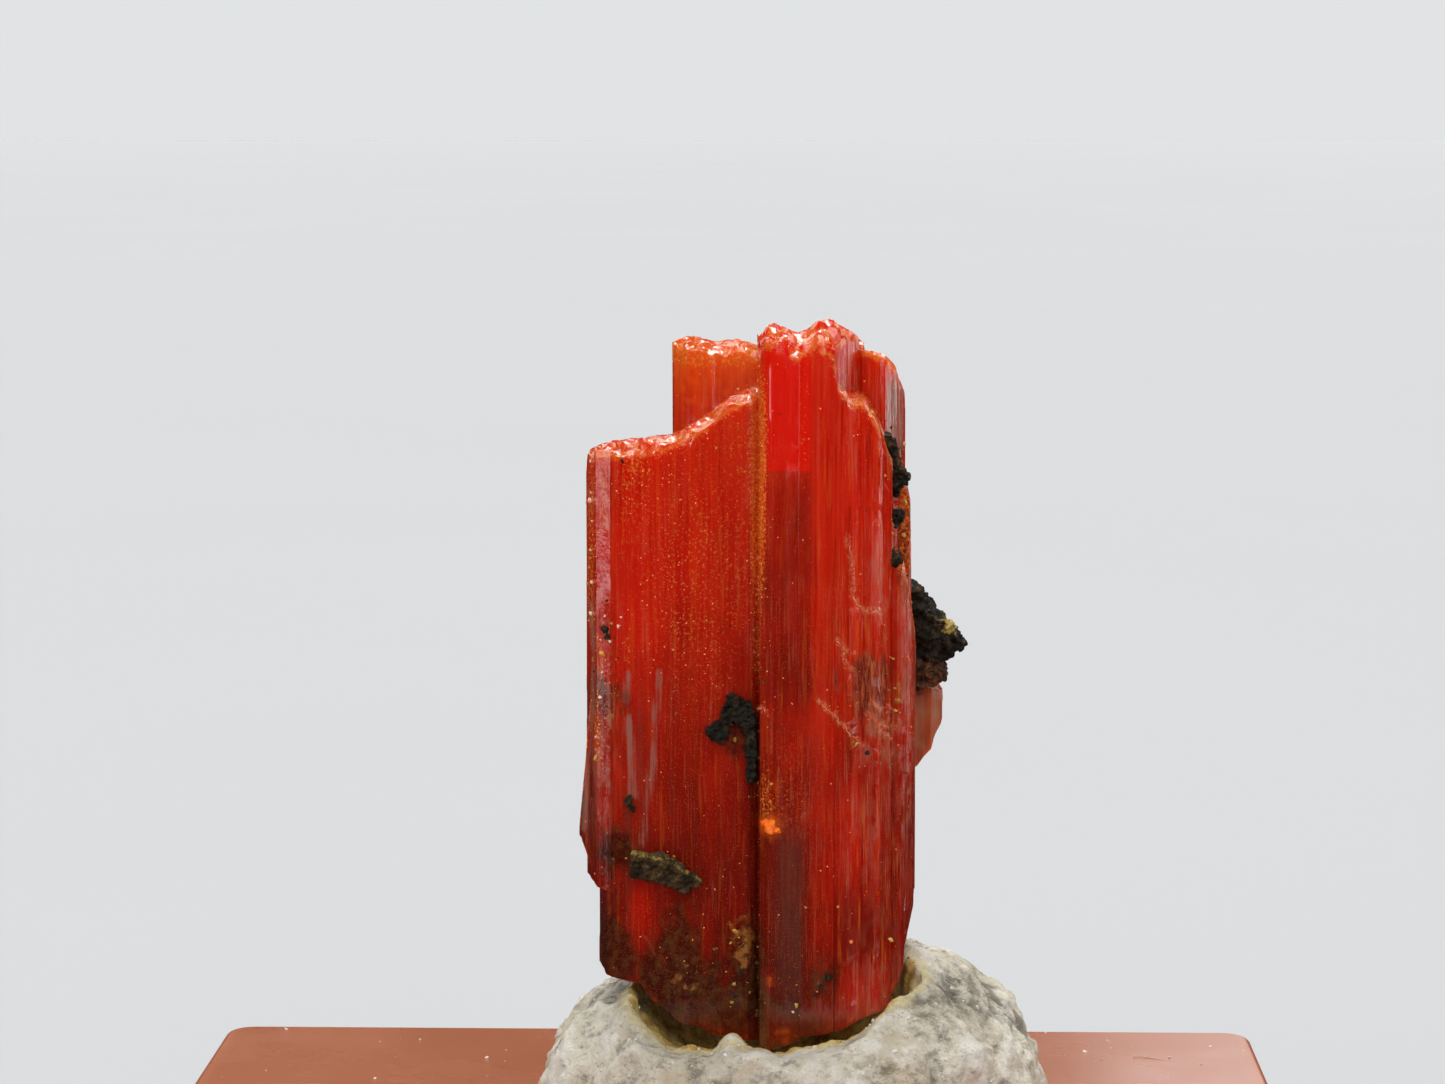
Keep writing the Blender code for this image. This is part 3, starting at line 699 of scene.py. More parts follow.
def gossan_finish():
    """Dark iron and manganese crust: olive black, ochre on its edges, rusty low down."""
    f = Finish("gossan")
    lumps = f.grain(3.5, 6.0, rough=0.7)
    f.colour = f.ramp(lumps + f.value("olive") * 0.14, [
        (0.34, (0.003, 0.003, 0.002)), (0.52, (0.012, 0.009, 0.004)),
        (0.66, (0.05, 0.028, 0.008)), (0.82, (0.13, 0.075, 0.022)),
    ])
    rust = f.patch("rust", 0.4, 0.75, (lumps, 1.2))
    f.coat(rust * 0.75, f.mix(f.step(lumps, 0.4, 0.6), (0.03, 0.01, 0.004), (0.19, 0.06, 0.018)))
    f.coat(f.patch("ochre", 0.5, 0.9, (f.grain(6.0, 5.0, rough=0.7), 1.7)), (0.34, 0.235, 0.05))
    f.coat(f.patch("ochre", 0.95, 1.3, (f.grain(9.0, 3.0), 1.6)) * 0.8, (0.66, 0.52, 0.24))
    f.bump(lumps, 0.06, 0.9)
    f.bump(f.grain(22.0, 3.0), 0.02, 0.8)
    return f.surface(f.step(f.cells(11.0), 0.15, 0.35, 0.34, 0.75), {"IOR": 1.5, "Specular IOR Level": 0.3})


def putty_finish():
    """Matt grey-cream putty: gritty, with painted shade in its folds and painted highlights on raised
    lumps, a painted shadow on the right, browned in the hollow, yellow at the rim.
    """
    f = Finish("mounting putty")
    patches = f.grain(0.55, 4.0, rough=0.6)
    fold_shade_and_highlight = f.value("fold_shade_and_highlight")
    f.colour = f.mix(f.step(patches, 0.35, 0.7), (0.7, 0.63, 0.48), (0.98, 0.92, 0.78))
    sandy = f.step(f.grain(0.9, 4.0, rough=0.65), 0.5, 0.72)
    f.coat(sandy * 0.45, (0.58, 0.43, 0.24))
    # Grey mottles, leaning into the folds as painted shade.
    grey = f.step(f.grain(1.7, 5.0, rough=0.65) + (fold_shade_and_highlight - 0.4) * 0.35, 0.5, 0.74)
    f.coat(grey * 0.7, (0.16, 0.14, 0.105))
    sooty = f.step(f.grain(1.4, 6.0, stretch=(1.0, 1.0, 1.5), rough=0.72), 0.53, 0.66)
    f.coat(sooty * 0.66, (0.19, 0.155, 0.1))
    fleck = f.step(f.grain(4.5, 4.0, rough=0.7), 0.56, 0.72)
    f.coat(fleck * 0.5, (0.24, 0.19, 0.12))
    # Painted shade in the folds.
    f.coat(f.step(fold_shade_and_highlight, 0.55, 1.0) * 0.75, (0.13, 0.105, 0.07))
    # Painted shadow on the right, with dark stain.
    f.coat(f.patch("dark", 0.4, 0.85, (f.grain(2.6, 5.0, rough=0.7), 1.3)) * 0.8, (0.085, 0.066, 0.04))
    # Painted highlights on the raised lumps.
    painted_highlight = f.step(fold_shade_and_highlight + (f.grain(3.2, 5.0, rough=0.7) - 0.5) * 0.9, 0.3, 0.05)
    f.coat(painted_highlight * 0.8, (0.98, 0.94, 0.84))
    brown = f.mix(f.step(f.grain(2.4, 4.0), 0.3, 0.65), (0.56, 0.32, 0.06), (0.95, 0.7, 0.24))
    f.coat(f.patch("hollow", 0.25, 0.75, (f.grain(3.0, 4.0), 0.8)), brown)
    f.coat(f.patch("stain", 0.45, 0.9, (f.grain(1.6, 4.0), 1.0)) * 0.6, (0.5, 0.36, 0.11))
    f.coat(f.patch("rim", 0.35, 1.0, (f.grain(2.5, 3.0), 1.4)) * 0.5, (0.9, 0.74, 0.34))
    pale = f.step(f.cells(9.0), 0.24, 0.1) * f.step(f.grain(1.3, 2.0), 0.45, 0.6)
    f.coat(pale * 0.5, (0.88, 0.86, 0.8))
    pits = f.step(f.cells(6.0), 0.18, 0.06) * f.step(f.grain(1.1, 2.0), 0.5, 0.62)
    f.coat(pits * 0.6, (0.1, 0.085, 0.06))
    f.bump(f.grain(2.6, 5.0, rough=0.68), 0.26)
    f.bump(f.grain(8.0, 6.0, rough=0.75), 0.11)
    return f.surface(f.step(patches, 0.3, 0.7, 0.6, 0.85), scatter=(0.15, 0.0003, (1.0, 0.8, 0.5)))


def slab_finish():
    """Satin salmon slab with faint clouding and fine wipe marks."""
    f = Finish("salmon slab")
    f.colour = f.mix(f.step(f.grain(0.1, 3.0), 0.3, 0.7), (0.37, 0.12, 0.055), (0.4, 0.134, 0.064))
    f.bump(f.grain(0.8, 2.0), 0.003, 0.4)
    return f.surface(f.step(f.grain(0.25, 2.0), 0.3, 0.7, 0.25, 0.31), {"IOR": 1.49},
                     scatter=(0.3, 0.0015, (1.0, 0.4, 0.25)))


def floor_finish():
    f = Finish("pale floor")
    f.colour = f.mix(f.grain(0.01, 2.0), (0.44, 0.445, 0.45), (0.46, 0.465, 0.47))
    return f.surface(0.8)


def speck_finish():
    """Bright little cleavage flakes, gold to pink: colour partly painted glints."""
    f = Finish("gold specks")
    tint = f.grain(3.0, 1.0)
    stops = [(0.35, (0.9, 0.14, 0.01)), (0.52, (0.95, 0.27, 0.04)), (0.68, (1.0, 0.46, 0.16))]
    f.colour = f.ramp(tint, stops)
    return f.surface(f.step(tint, 0.3, 0.7, 0.22, 0.4), {"IOR": 1.6})


def bit_finish(name, dark, light, rough, gloss=0.6):
    """A small chip of one stuff, mottled from a dark to a light tone."""
    f = Finish(name)
    tint = f.grain(7.0, 4.0, rough=0.65)
    f.colour = f.mix(f.step(tint, 0.35, 0.65), dark, light)
    f.bump(f.grain(18.0, 3.0), 0.012, 0.8)
    rough = f.step(tint, 0.3, 0.7, rough, rough + 0.15)
    return f.surface(rough, {"IOR": 1.5, "Specular IOR Level": gloss}, scatter=(0.3, 0.0002))


def crumb_finish():
    """Ochre to dark brown crumbs of matrix."""
    f = Finish("matrix crumbs")
    tint = f.grain(4.0, 3.0)
    f.colour = f.ramp(tint, [
        (0.32, (0.012, 0.008, 0.005)), (0.46, (0.1, 0.05, 0.012)),
        (0.56, (0.45, 0.19, 0.025)), (0.68, (0.66, 0.38, 0.09)),
    ])
    f.bump(f.grain(25.0, 3.0), 0.01, 0.8)
    return f.surface(f.step(tint, 0.3, 0.7, 0.5, 0.85), {"Specular IOR Level": 0.25})


def dust_finish():
    f = Finish("pale dust")
    tint = f.grain(2.0, 2.0)
    f.colour = f.mix(tint, (0.45, 0.38, 0.3), (0.85, 0.8, 0.74))
    return f.surface(f.step(tint, 0.3, 0.7, 0.6, 0.9))


# Grains and fibres

class Tree(Nodes):
    """A Geometry Nodes tree in the making, with named inputs."""

    def __init__(self, name, **inputs):
        super().__init__(bpy.data.node_groups.new(name, "GeometryNodeTree"))
        face = self.tree.interface
        for label, kind in {"Geometry": "Geometry", **inputs, "Material": "Material"}.items():
            face.new_socket(label, in_out="INPUT", socket_type="NodeSocket" + kind)
        face.new_socket("Geometry", in_out="OUTPUT", socket_type="NodeSocketGeometry")
        self.inputs = self.node("NodeGroupInput")

    def given(self, *labels):
        found = [self.inputs.other(label) for label in labels]
        return found if len(found) > 1 else found[0]

    def chance(self, low, high, seed):
        """A random number for each grain."""
        sockets = {2: low, 3: high, "Seed": seed}
        return self.node("FunctionNodeRandomValue", {"data_type": "FLOAT"}, sockets, out=1)

    def jumble(self, low, high, seed):
        """A random vector for each point."""
        sockets = {0: low, 1: high, "Seed": seed}
        return self.node("FunctionNodeRandomValue", {"data_type": "FLOAT_VECTOR"}, sockets)

    def moved(self, geometry, offset):
        return self.node("GeometryNodeSetPosition", None, {"Geometry": geometry, "Offset": offset})

    def real(self, instances):
        return self.node("GeometryNodeRealizeInstances", None, {0: instances})

    def strewn(self):
        """Points at random over the surface, thick where the named value is high."""
        mesh, where, density, seed = self.given("Geometry", "Where", "Density", "Seed")
        there = self.node("GeometryNodeInputNamedAttribute", {"data_type": "FLOAT"}, {"Name": where},
                          out="Attribute")
        sockets = {"Mesh": mesh, "Density": there * density, "Seed": seed}
        return self.node("GeometryNodeDistributePointsOnFaces", None, sockets, out="Points")

    def placed(self, points, shape, turn, size):
        sockets = {"Points": points, "Instance": shape, "Rotation": turn, "Scale": size}
        return self.node("GeometryNodeInstanceOnPoints", None, sockets)

    def tube(self, line, radius, scale=1.0):
        """A thin closed skin along a line."""
        ring = self.node("GeometryNodeCurvePrimitiveCircle", None, {"Resolution": 5, "Radius": radius})
        sockets = {"Curve": line, "Profile Curve": ring, "Scale": scale, "Fill Caps": True}
        return self.node("GeometryNodeCurveToMesh", None, sockets)

    def end(self, geometry):
        """Makes instances real and gives them the material that the modifier names."""
        sockets = {"Geometry": self.real(geometry), "Material": self.given("Material")}
        self.node("NodeGroupOutput", None, {0: self.node("GeometryNodeSetMaterial", None, sockets)})
        return self.tree


def grain_tree():
    """Small angular grains strewn over a surface, many small and few large."""
    tree = Tree("strewn grains", Where="String", Density="Float", Least="Float", Most="Float",
                Flatness="Float", Tumble="Float", Seed="Int")
    spots = tree.strewn()
    least, most, flatness, tumble = tree.given("Least", "Most", "Flatness", "Tumble")
    ball = tree.node("GeometryNodeMeshIcoSphere", None, {"Radius": 1.0, "Subdivisions": 1}, out="Mesh")
    grain = tree.moved(ball, tree.jumble((-0.35, -0.35, -0.35), (0.35, 0.35, 0.35), 4))
    size = tree.chance(0.0, 1.0, 11) ** 3.0 * (most - least) + least
    scale = tree.node("ShaderNodeCombineXYZ", None, {0: size, 1: size, 2: size * flatness})
    sockets = {0: tree.chance(-1.0, 1.0, 12) * tumble, 1: tree.chance(-1.0, 1.0, 13) * tumble,
               2: tree.chance(0.0, 6.28, 14)}
    turn = tree.node("ShaderNodeCombineXYZ", None, sockets)
    sockets = {"Rotation": spots.other("Rotation"), "Rotate By": turn}
    facing = tree.node("FunctionNodeRotateRotation", {"rotation_space": "LOCAL"}, sockets)
    return tree.end(tree.placed(spots, grain, facing, scale))


def fibre_tree():
    """Short curled fibres of lint lying on a surface."""
    tree = Tree("lint fibres", Where="String", Density="Float", Length="Float", Thickness="Float",
                Curl="Float", Seed="Int")
    spots = tree.strewn()
    length, thickness, curl = tree.given("Length", "Thickness", "Curl")
    ends = {"Start": (-0.5, 0.0, 0.0), "End": (0.5, 0.0, 0.0)}
    line = tree.node("GeometryNodeCurvePrimitiveLine", None, ends)
    line = tree.node("GeometryNodeResampleCurve", None, {"Curve": line, "Count": 28})
    turn = tree.node("ShaderNodeCombineXYZ", None, {2: tree.chance(0.0, 6.28, 21)})
    laid = tree.real(tree.placed(spots, line, turn, tree.chance(0.35, 1.0, 22) * length))
    wind = tree.node("ShaderNodeTexNoise", None, {"Scale": 0.9, "Detail": 1.0}, out="Color")
    wind = tree.vector("MULTIPLY", tree.vector("SUBTRACT", wind, (0.5, 0.5, 0.42)), (1.0, 1.0, 0.06))
    return tree.end(tree.tube(tree.moved(laid, tree.vector("SCALE", wind, curl)), thickness))


def ridge_tree():
    """A thin ragged edge along each line, which pinches and swells on its way."""
    tree = Tree("ragged edges", Width="Float", Ragged="Float", Seed="Int")
    mesh, width, ragged, seed = tree.given("Geometry", "Width", "Ragged", "Seed")
    line = tree.node("GeometryNodeMeshToCurve", None, {0: mesh})
    line = tree.node("GeometryNodeResampleCurve", {"mode": "LENGTH"}, {"Curve": line, "Length": 0.035})
    jitter = tree.jumble((-1.0, -0.4, -1.0), (1.0, 0.2, 1.0), seed)
    line = tree.moved(line, tree.vector("SCALE", jitter, ragged))
    wave = tree.node("ShaderNodeTexNoise", None, {"Scale": 4.0, "Detail": 2.0}, out="Fac")
    wave = tree.node("ShaderNodeMapRange", None, {"Value": wave, 1: 0.36, 2: 0.62, 3: 0.15, 4: 1.0})
    return tree.end(tree.tube(line, 1.0, wave * width))


def strew(tree, name, surface, material, slot, sharp=None, **inputs):
    """Runs a tree over a copy of a surface and finishes what it made as a piece of its own."""
    made = add_object(name, surface.copy())
    nodes = made.modifiers.new("strewn", "NODES")
    nodes.node_group = tree
    labels = {item.name: item.identifier for item in tree.interface.items_tree if item.in_out == "INPUT"}
    for label, value in inputs.items():
        nodes[labels[label.capitalize()]] = value
    nodes[labels["Material"]] = material
    return finish_piece(settle(made), material, sharp=sharp)


# Crystal

def blob(points, x, z, wide, tall, power=2.0):
    """1 at a place on the front, falling to 0 at about the given half width and half height."""
    across, up = np.abs((points[:, 0] - x) / wide), np.abs((points[:, 2] - z) / tall)
    return np.exp(-across ** power - up ** power) * (points[:, 1] < FRONT_FACE)


def beside(points, line):
    """How far each point is from a line, both seen from the front."""
    spots = points[:, (0, 2)]
    nearest = np.full(len(spots), np.inf)
    for start, end in zip(np.array(line), np.array(line)[1:]):
        along = end - start
        share = np.clip((spots - start) @ along / (along @ along), 0.0, 1.0)
        nearest = np.minimum(nearest, np.linalg.norm(spots - start - share[:, None] * along, axis=1))
    return nearest


def thinness(mesh):
    """How thin the crystal is behind each point: 1 at an edge, 0 deep inside."""
    points, normals = points_of(mesh), normals_of(mesh)
    tree = rays_into(mesh)
    rng = np.random.default_rng(8)
    total = np.zeros(len(points))
    looks = 4
    for _ in range(looks):
        ways = -normals + rng.normal(0.0, 0.45, normals.shape)
        ways /= np.linalg.norm(ways, axis=1)[:, None]
        starts = points - normals * 0.02
        for i, (start, way) in enumerate(zip(starts.tolist(), ways.tolist())):
            hit = tree.ray_cast(start, way)
            total[i] += math.exp(-hit[3] / 0.9) if hit[0] else 1.0
    return total / looks


def near_crown(points):
    """1 on the broken tops, falling to 0 a little way below them."""
    near = np.zeros(len(points))
    x, y, z = points.T
    for prism in PRISMS:
        plan = np.array(prism.plan)
        middle = plan.mean(0)
        held = inside(points[:, :2], middle + (plan - middle) * 1.06)
        below = prism.top(x, y) - z
        fall = np.exp(-np.maximum(below, 0.0) / 0.22 + np.minimum(below, 0.0) / 0.12)
        near = np.maximum(near, held * fall)
    return near


# Spots on the front: share, place across, height, half width, half height and, for a flat middle, power
SPOTS = {
    # Painted glow, low in the middle and round the orange bead
    "thin": [
        (0.55, 1.34, 12.0, 0.16, 0.24), (0.6, 1.62, 10.66, 0.18, 0.2), (0.9, 1.35, 16.15, 0.42, 0.36),
        (0.3, 1.3, 17.2, 0.5, 0.7),
    ],
    # Golden dust, partly painted glints
    "gilt_and_glint": [
        (0.8, -0.6, 22.9, 1.1, 3.0), (0.5, -2.4, 24.8, 0.5, 1.4), (0.4, 0.4, 25.5, 0.6, 2.0),
        (0.4, 1.6, 17.0, 0.6, 1.3),
    ],
    # Painted glow in the clear window
    "window": [(1.0, 1.78, 27.6, 0.62, 2.6, 10.0)],
    # Painted shade, below the window and low in the middle
    "deep": [(0.3, 1.8, 22.5, 0.7, 3.0, 8.0), (0.2, 1.2, 14.5, 0.5, 4.0, 4.0)],
    # Painted glow: brighter red patches
    "bright": [
        (0.3, -1.6, 23.5, 1.6, 3.0), (0.3, -2.2, 21.5, 0.5, 3.5), (0.35, 3.4, 24.5, 0.8, 2.0),
        (0.3, 3.4, 15.5, 0.7, 1.4), (0.6, 3.9, 11.7, 0.9, 0.9), (0.45, -2.1, 13.9, 0.35, 1.0),
    ],
    # Golden orange: painted glow along the seam and some edges, with golden stain and dust
    "gold": [
        (0.8, 1.0, 25.4, 0.28, 3.3, 4.0), (0.5, 0.95, 20.6, 0.2, 1.8), (0.38, 2.2, 26.6, 0.18, 2.2, 4.0),
        (0.4, -2.2, 25.6, 0.7, 0.5), (0.5, -3.22, 18.1, 0.17, 0.8), (0.5, -3.3, 19.4, 0.16, 1.6),
        (0.5, -2.45, 20.7, 0.14, 0.9), (0.55, -3.46, 23.4, 0.15, 2.6, 4.0),
        (0.62, 4.88, 24.2, 0.26, 2.2, 4.0), (0.55, 1.2, 16.9, 0.42, 1.1), (0.26, -2.1, 24.7, 0.6, 1.2),
        (0.5, 3.5, 20.7, 0.12, 0.25), (0.5, 4.66, 19.7, 0.1, 0.9),
    ],
    # Scuffed patches, with painted glints on the left edge and painted sheen down the right edge
    "scuff_and_sheen": [
        (0.8, 4.3, 18.6, 0.6, 0.9, 4.0), (0.4, 4.2, 12.6, 0.6, 1.3), (0.6, 4.2, 22.6, 0.4, 1.0),
        (0.8, 3.35, 28.0, 0.3, 1.0), (0.7, -3.44, 24.9, 0.14, 1.0), (0.6, -3.44, 22.2, 0.14, 0.8),
        (0.5, -3.2, 17.5, 0.4, 1.4), (0.75, 4.98, 19.6, 0.26, 4.6, 4.0), (0.4, 4.0, 16.0, 0.7, 1.3),
    ],
    # Painted reflection: dim purplish bands low down
    "painted_dim_reflection": [
        (0.85, 1.85, 13.6, 0.36, 2.5, 6.0), (0.6, -3.5, 17.8, 0.2, 2.8, 4.0), (0.5, -2.1, 18.2, 0.14, 1.8),
        (0.8, -2.45, 15.6, 0.1, 1.4),
    ],
    # Painted sheen at the upper right
    "painted_sheen": [(0.85, 4.6, 26.9, 0.26, 1.2, 4.0)],
    # Pale fray with painted highlight round the etched patch
    "fray_and_edge_highlight": [(0.62, 4.28, 18.75, 0.4, 0.5), (0.4, 3.7, 20.6, 0.6, 0.3)],
    "grime": [
        (0.7, -1.2, 12.4, 1.1, 1.7), (0.75, -2.9, 12.9, 0.55, 1.1), (0.6, -2.6, 15.2, 0.8, 0.7),
        (0.7, 0.85, 12.2, 0.55, 1.5), (-0.5, -2.0, 13.5, 0.35, 0.9), (0.55, 2.9, 12.1, 0.5, 0.7),
        (0.5, -2.6, 19.5, 0.4, 0.6), (0.85, 0.45, 18.7, 0.42, 0.7), (0.4, 0.3, 18.0, 0.6, 0.6),
        (0.6, 4.88, 24.1, 0.28, 2.4, 4.0), (-0.55, 3.9, 11.6, 0.9, 0.9), (-0.9, 1.34, 12.0, 0.2, 0.3),
        (-0.9, 1.62, 10.66, 0.24, 0.26), (0.55, -3.2, 19.6, 0.3, 0.9), (0.4, -3.3, 16.9, 0.3, 0.8),
        (0.45, -2.75, 15.6, 0.5, 0.55), (0.3, -3.05, 15.2, 0.3, 0.3),
    ],
    "ochre": [
        (0.75, 0.6, 12.9, 0.45, 1.2), (0.55, -0.9, 12.0, 0.6, 0.9), (0.75, 4.7, 19.6, 0.1, 1.2),
        (0.7, 3.5, 18.4, 0.25, 0.3), (0.5, 4.88, 23.9, 0.24, 2.2, 4.0), (0.5, 4.3, 14.5, 0.2, 1.2),
        (0.4, -3.1, 14.6, 0.3, 0.5), (0.6, -2.9, 18.9, 0.2, 0.5),
    ],
    "specks": [
        (0.7, -1.3, 23.4, 0.8, 1.8), (0.5, -1.0, 20.9, 0.9, 1.8), (1.0, 0.98, 24.0, 0.24, 3.4, 4.0),
        (0.9, -3.5, 25.4, 0.2, 1.8), (2.6, -3.44, 24.0, 0.13, 2.4, 4.0), (0.9, -3.0, 20.0, 0.3, 1.3),
        (0.5, 4.6, 18.6, 0.35, 1.6),
    ],
    "crumbs": [
        (0.9, 4.72, 24.6, 0.3, 1.9, 4.0), (0.9, 0.6, 12.4, 0.4, 1.3), (0.7, -3.0, 20.8, 0.25, 1.0),
        (0.5, -1.6, 15.2, 1.0, 0.4), (0.6, 0.5, 18.6, 0.5, 0.9), (0.5, 4.75, 18.0, 0.2, 1.6),
    ],
}

# Etched patches, laid over one another without adding up
ETCHED = [
    (1.0, 3.92, 19.85, 0.85, 1.05, 2.5), (0.75, 4.15, 18.9, 0.6, 0.8), (0.8, -2.82, 19.4, 0.28, 0.75),
]


def paint_crystal(mesh):
    """Stores how thin, deep, bright, golden, scuffed or dirty the crystal is at each point, with the
    painted glow, shade, sheen and reflections that go with it.
    """
    points = points_of(mesh)
    x, y, z = points.T
    front = y < FRONT_FACE
    wander = ripple(points * (1.0, 1.0, 0.5), 1.1, 3, 3)
    behind = (y > BACK_FACE) & (x < 1.35)
    crown = near_crown(points)

    def near_lines(lines, width, strength):
        near = [np.exp(-(beside(points, line) / width) ** 2) for line in lines]
        return strength * np.max(near, axis=0) * front

    fibre = np.interp(x, (-2.7, -2.3, 0.7, 1.1, 2.9, 3.3, 5.2), (0.3, 0.22, 0.15, 0.25, 0.35, 0.9, 1.0))
    keep_value(mesh, "fibre", np.where(y > BACK_FACE, 0.4, fibre) + 0.15 * wander)
    # The broken tops get a painted orange-gold glow and highlight from this.
    keep_value(mesh, "rim", crown)
    keep_value(mesh, "etch", np.max([share * blob(points, *spot) for share, *spot in ETCHED], axis=0))

    # Painted shade: darker towards the bottom.
    deep = np.interp(z, (10.0, 15.0, 20.0, 25.0, 29.0), (1.0, 0.8, 0.48, 0.16, 0.0))
    # Darker and browner towards the foot.
    low = 0.6 * np.clip((14.8 - z) / 5.0, 0.0, 1.0)
    under = {
        # Painted glow: thin parts, and the back prism's top as if lit from behind.
        "thin": thinness(mesh) + behind * (0.25 + 0.4 * np.clip((z - 26.6) / 1.6, 0.0, 1.0)),
        "gilt_and_glint": 0.05 + 0.12 * (y > BACK_FACE),
        "deep": deep + 0.18 * wander - 0.25 * (y > BACK_FACE) - 0.16 * (x > 2.4),
        # Painted glow: brighter red high up, right of the blade.
        "bright": 0.45 * np.clip((z - 25.0) / 4.0, 0.0, 1.0) * (x > 1.2),
        # Painted glow: golden band on the back prism's top.
        "gold": 0.8 * behind * np.exp(-((z - 28.3) / 0.36) ** 2),
        "scuff_and_sheen": 0.3 * np.clip(wander, 0.0, 1.0) * (y > 0.0),
        "grime": low + 0.3 * np.clip(wander - 0.1, 0.0, 1.0) * (y > BACK_FACE),
        "specks": 0.05 + 0.9 * crown,
        "crumbs": 0.004 * (z > 11.5),
    }
    values = {name: under.get(name, 0.0) + sum(share * blob(points, *spot) for share, *spot in spots)
              for name, spots in SPOTS.items()}
    # Painted sheen along the pale bands, and pale fray with painted highlight along the broken edges.
    values["painted_sheen"] = np.maximum(values["painted_sheen"], near_lines(SHEEN_BANDS, 0.15, 0.62))
    values["fray_and_edge_highlight"] = np.maximum(values["fray_and_edge_highlight"], near_lines(EDGES, 0.11, 1.0))
    values["specks"] *= z > 11.0
    for name, value in values.items():
        keep_value(mesh, name, value)


def finish_piece(made, material, nodes=(), sharp=None):
    """Brings a piece from millimetres to metres, gives it its finish and hands it to the frame."""
    made.data.transform(Matrix.Scale(MM, 4))
    made.data.materials.clear()
    made.data.materials.append(material)
    if sharp is not None:
        made.data.shade_smooth()
        made.data.set_sharp_from_angle(angle=math.radians(sharp))
    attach(made, BODY)
    if nodes:
        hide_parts(*nodes)
    return made


# Painted sheen: pale bands low on the left, each a line of places seen from the front
SHEEN_BANDS = [
    [(-1.59, 20.2), (-1.73, 18.35), (-2.03, 15.6)],
    [(-2.43, 20.08), (-2.53, 19.36)],
    [(-2.43, 18.93), (-2.35, 18.08), (-2.33, 16.87)],
    [(-3.42, 21.95), (-3.38, 19.27), (-3.55, 17.65), (-3.69, 15.76)],
]

# Broken edges on the front, which carry a painted highlight, each a line of places seen from the front
EDGES = [
    [(3.38, 23.83), (3.41, 23.51), (3.46, 23.2), (3.49, 23.01)],
    [(3.49, 23.01), (3.54, 22.67), (3.52, 22.25), (3.62, 22.06), (3.76, 21.91), (3.94, 21.85),
     (4.1, 21.91), (4.28, 21.78)],
    [(2.64, 19.55), (2.8, 19.28), (3.01, 19.18), (3.16, 18.91), (3.3, 18.86), (3.43, 18.6),
     (3.64, 18.49), (3.74, 18.31)],
    [(4.0, 19.5), (4.21, 19.29), (4.42, 19.37), (4.55, 19.19)],
    [(3.9, 19.18), (4.16, 18.92), (4.48, 18.76), (4.61, 18.5)],
    [(4.21, 18.76), (4.56, 18.39)],
    [(3.21, 20.69), (3.37, 20.5), (3.47, 20.35)],
    [(3.1, 21.09), (3.32, 20.82), (3.45, 20.77)],
    [(0.98, 19.17), (1.14, 19.28), (1.27, 19.14)],
    [(-3.1, 25.54), (-3.05, 25.02), (-3.07, 24.44), (-3.02, 23.96)],
    [(-3.24, 21.06), (-3.14, 20.48), (-3.17, 19.74)],
]

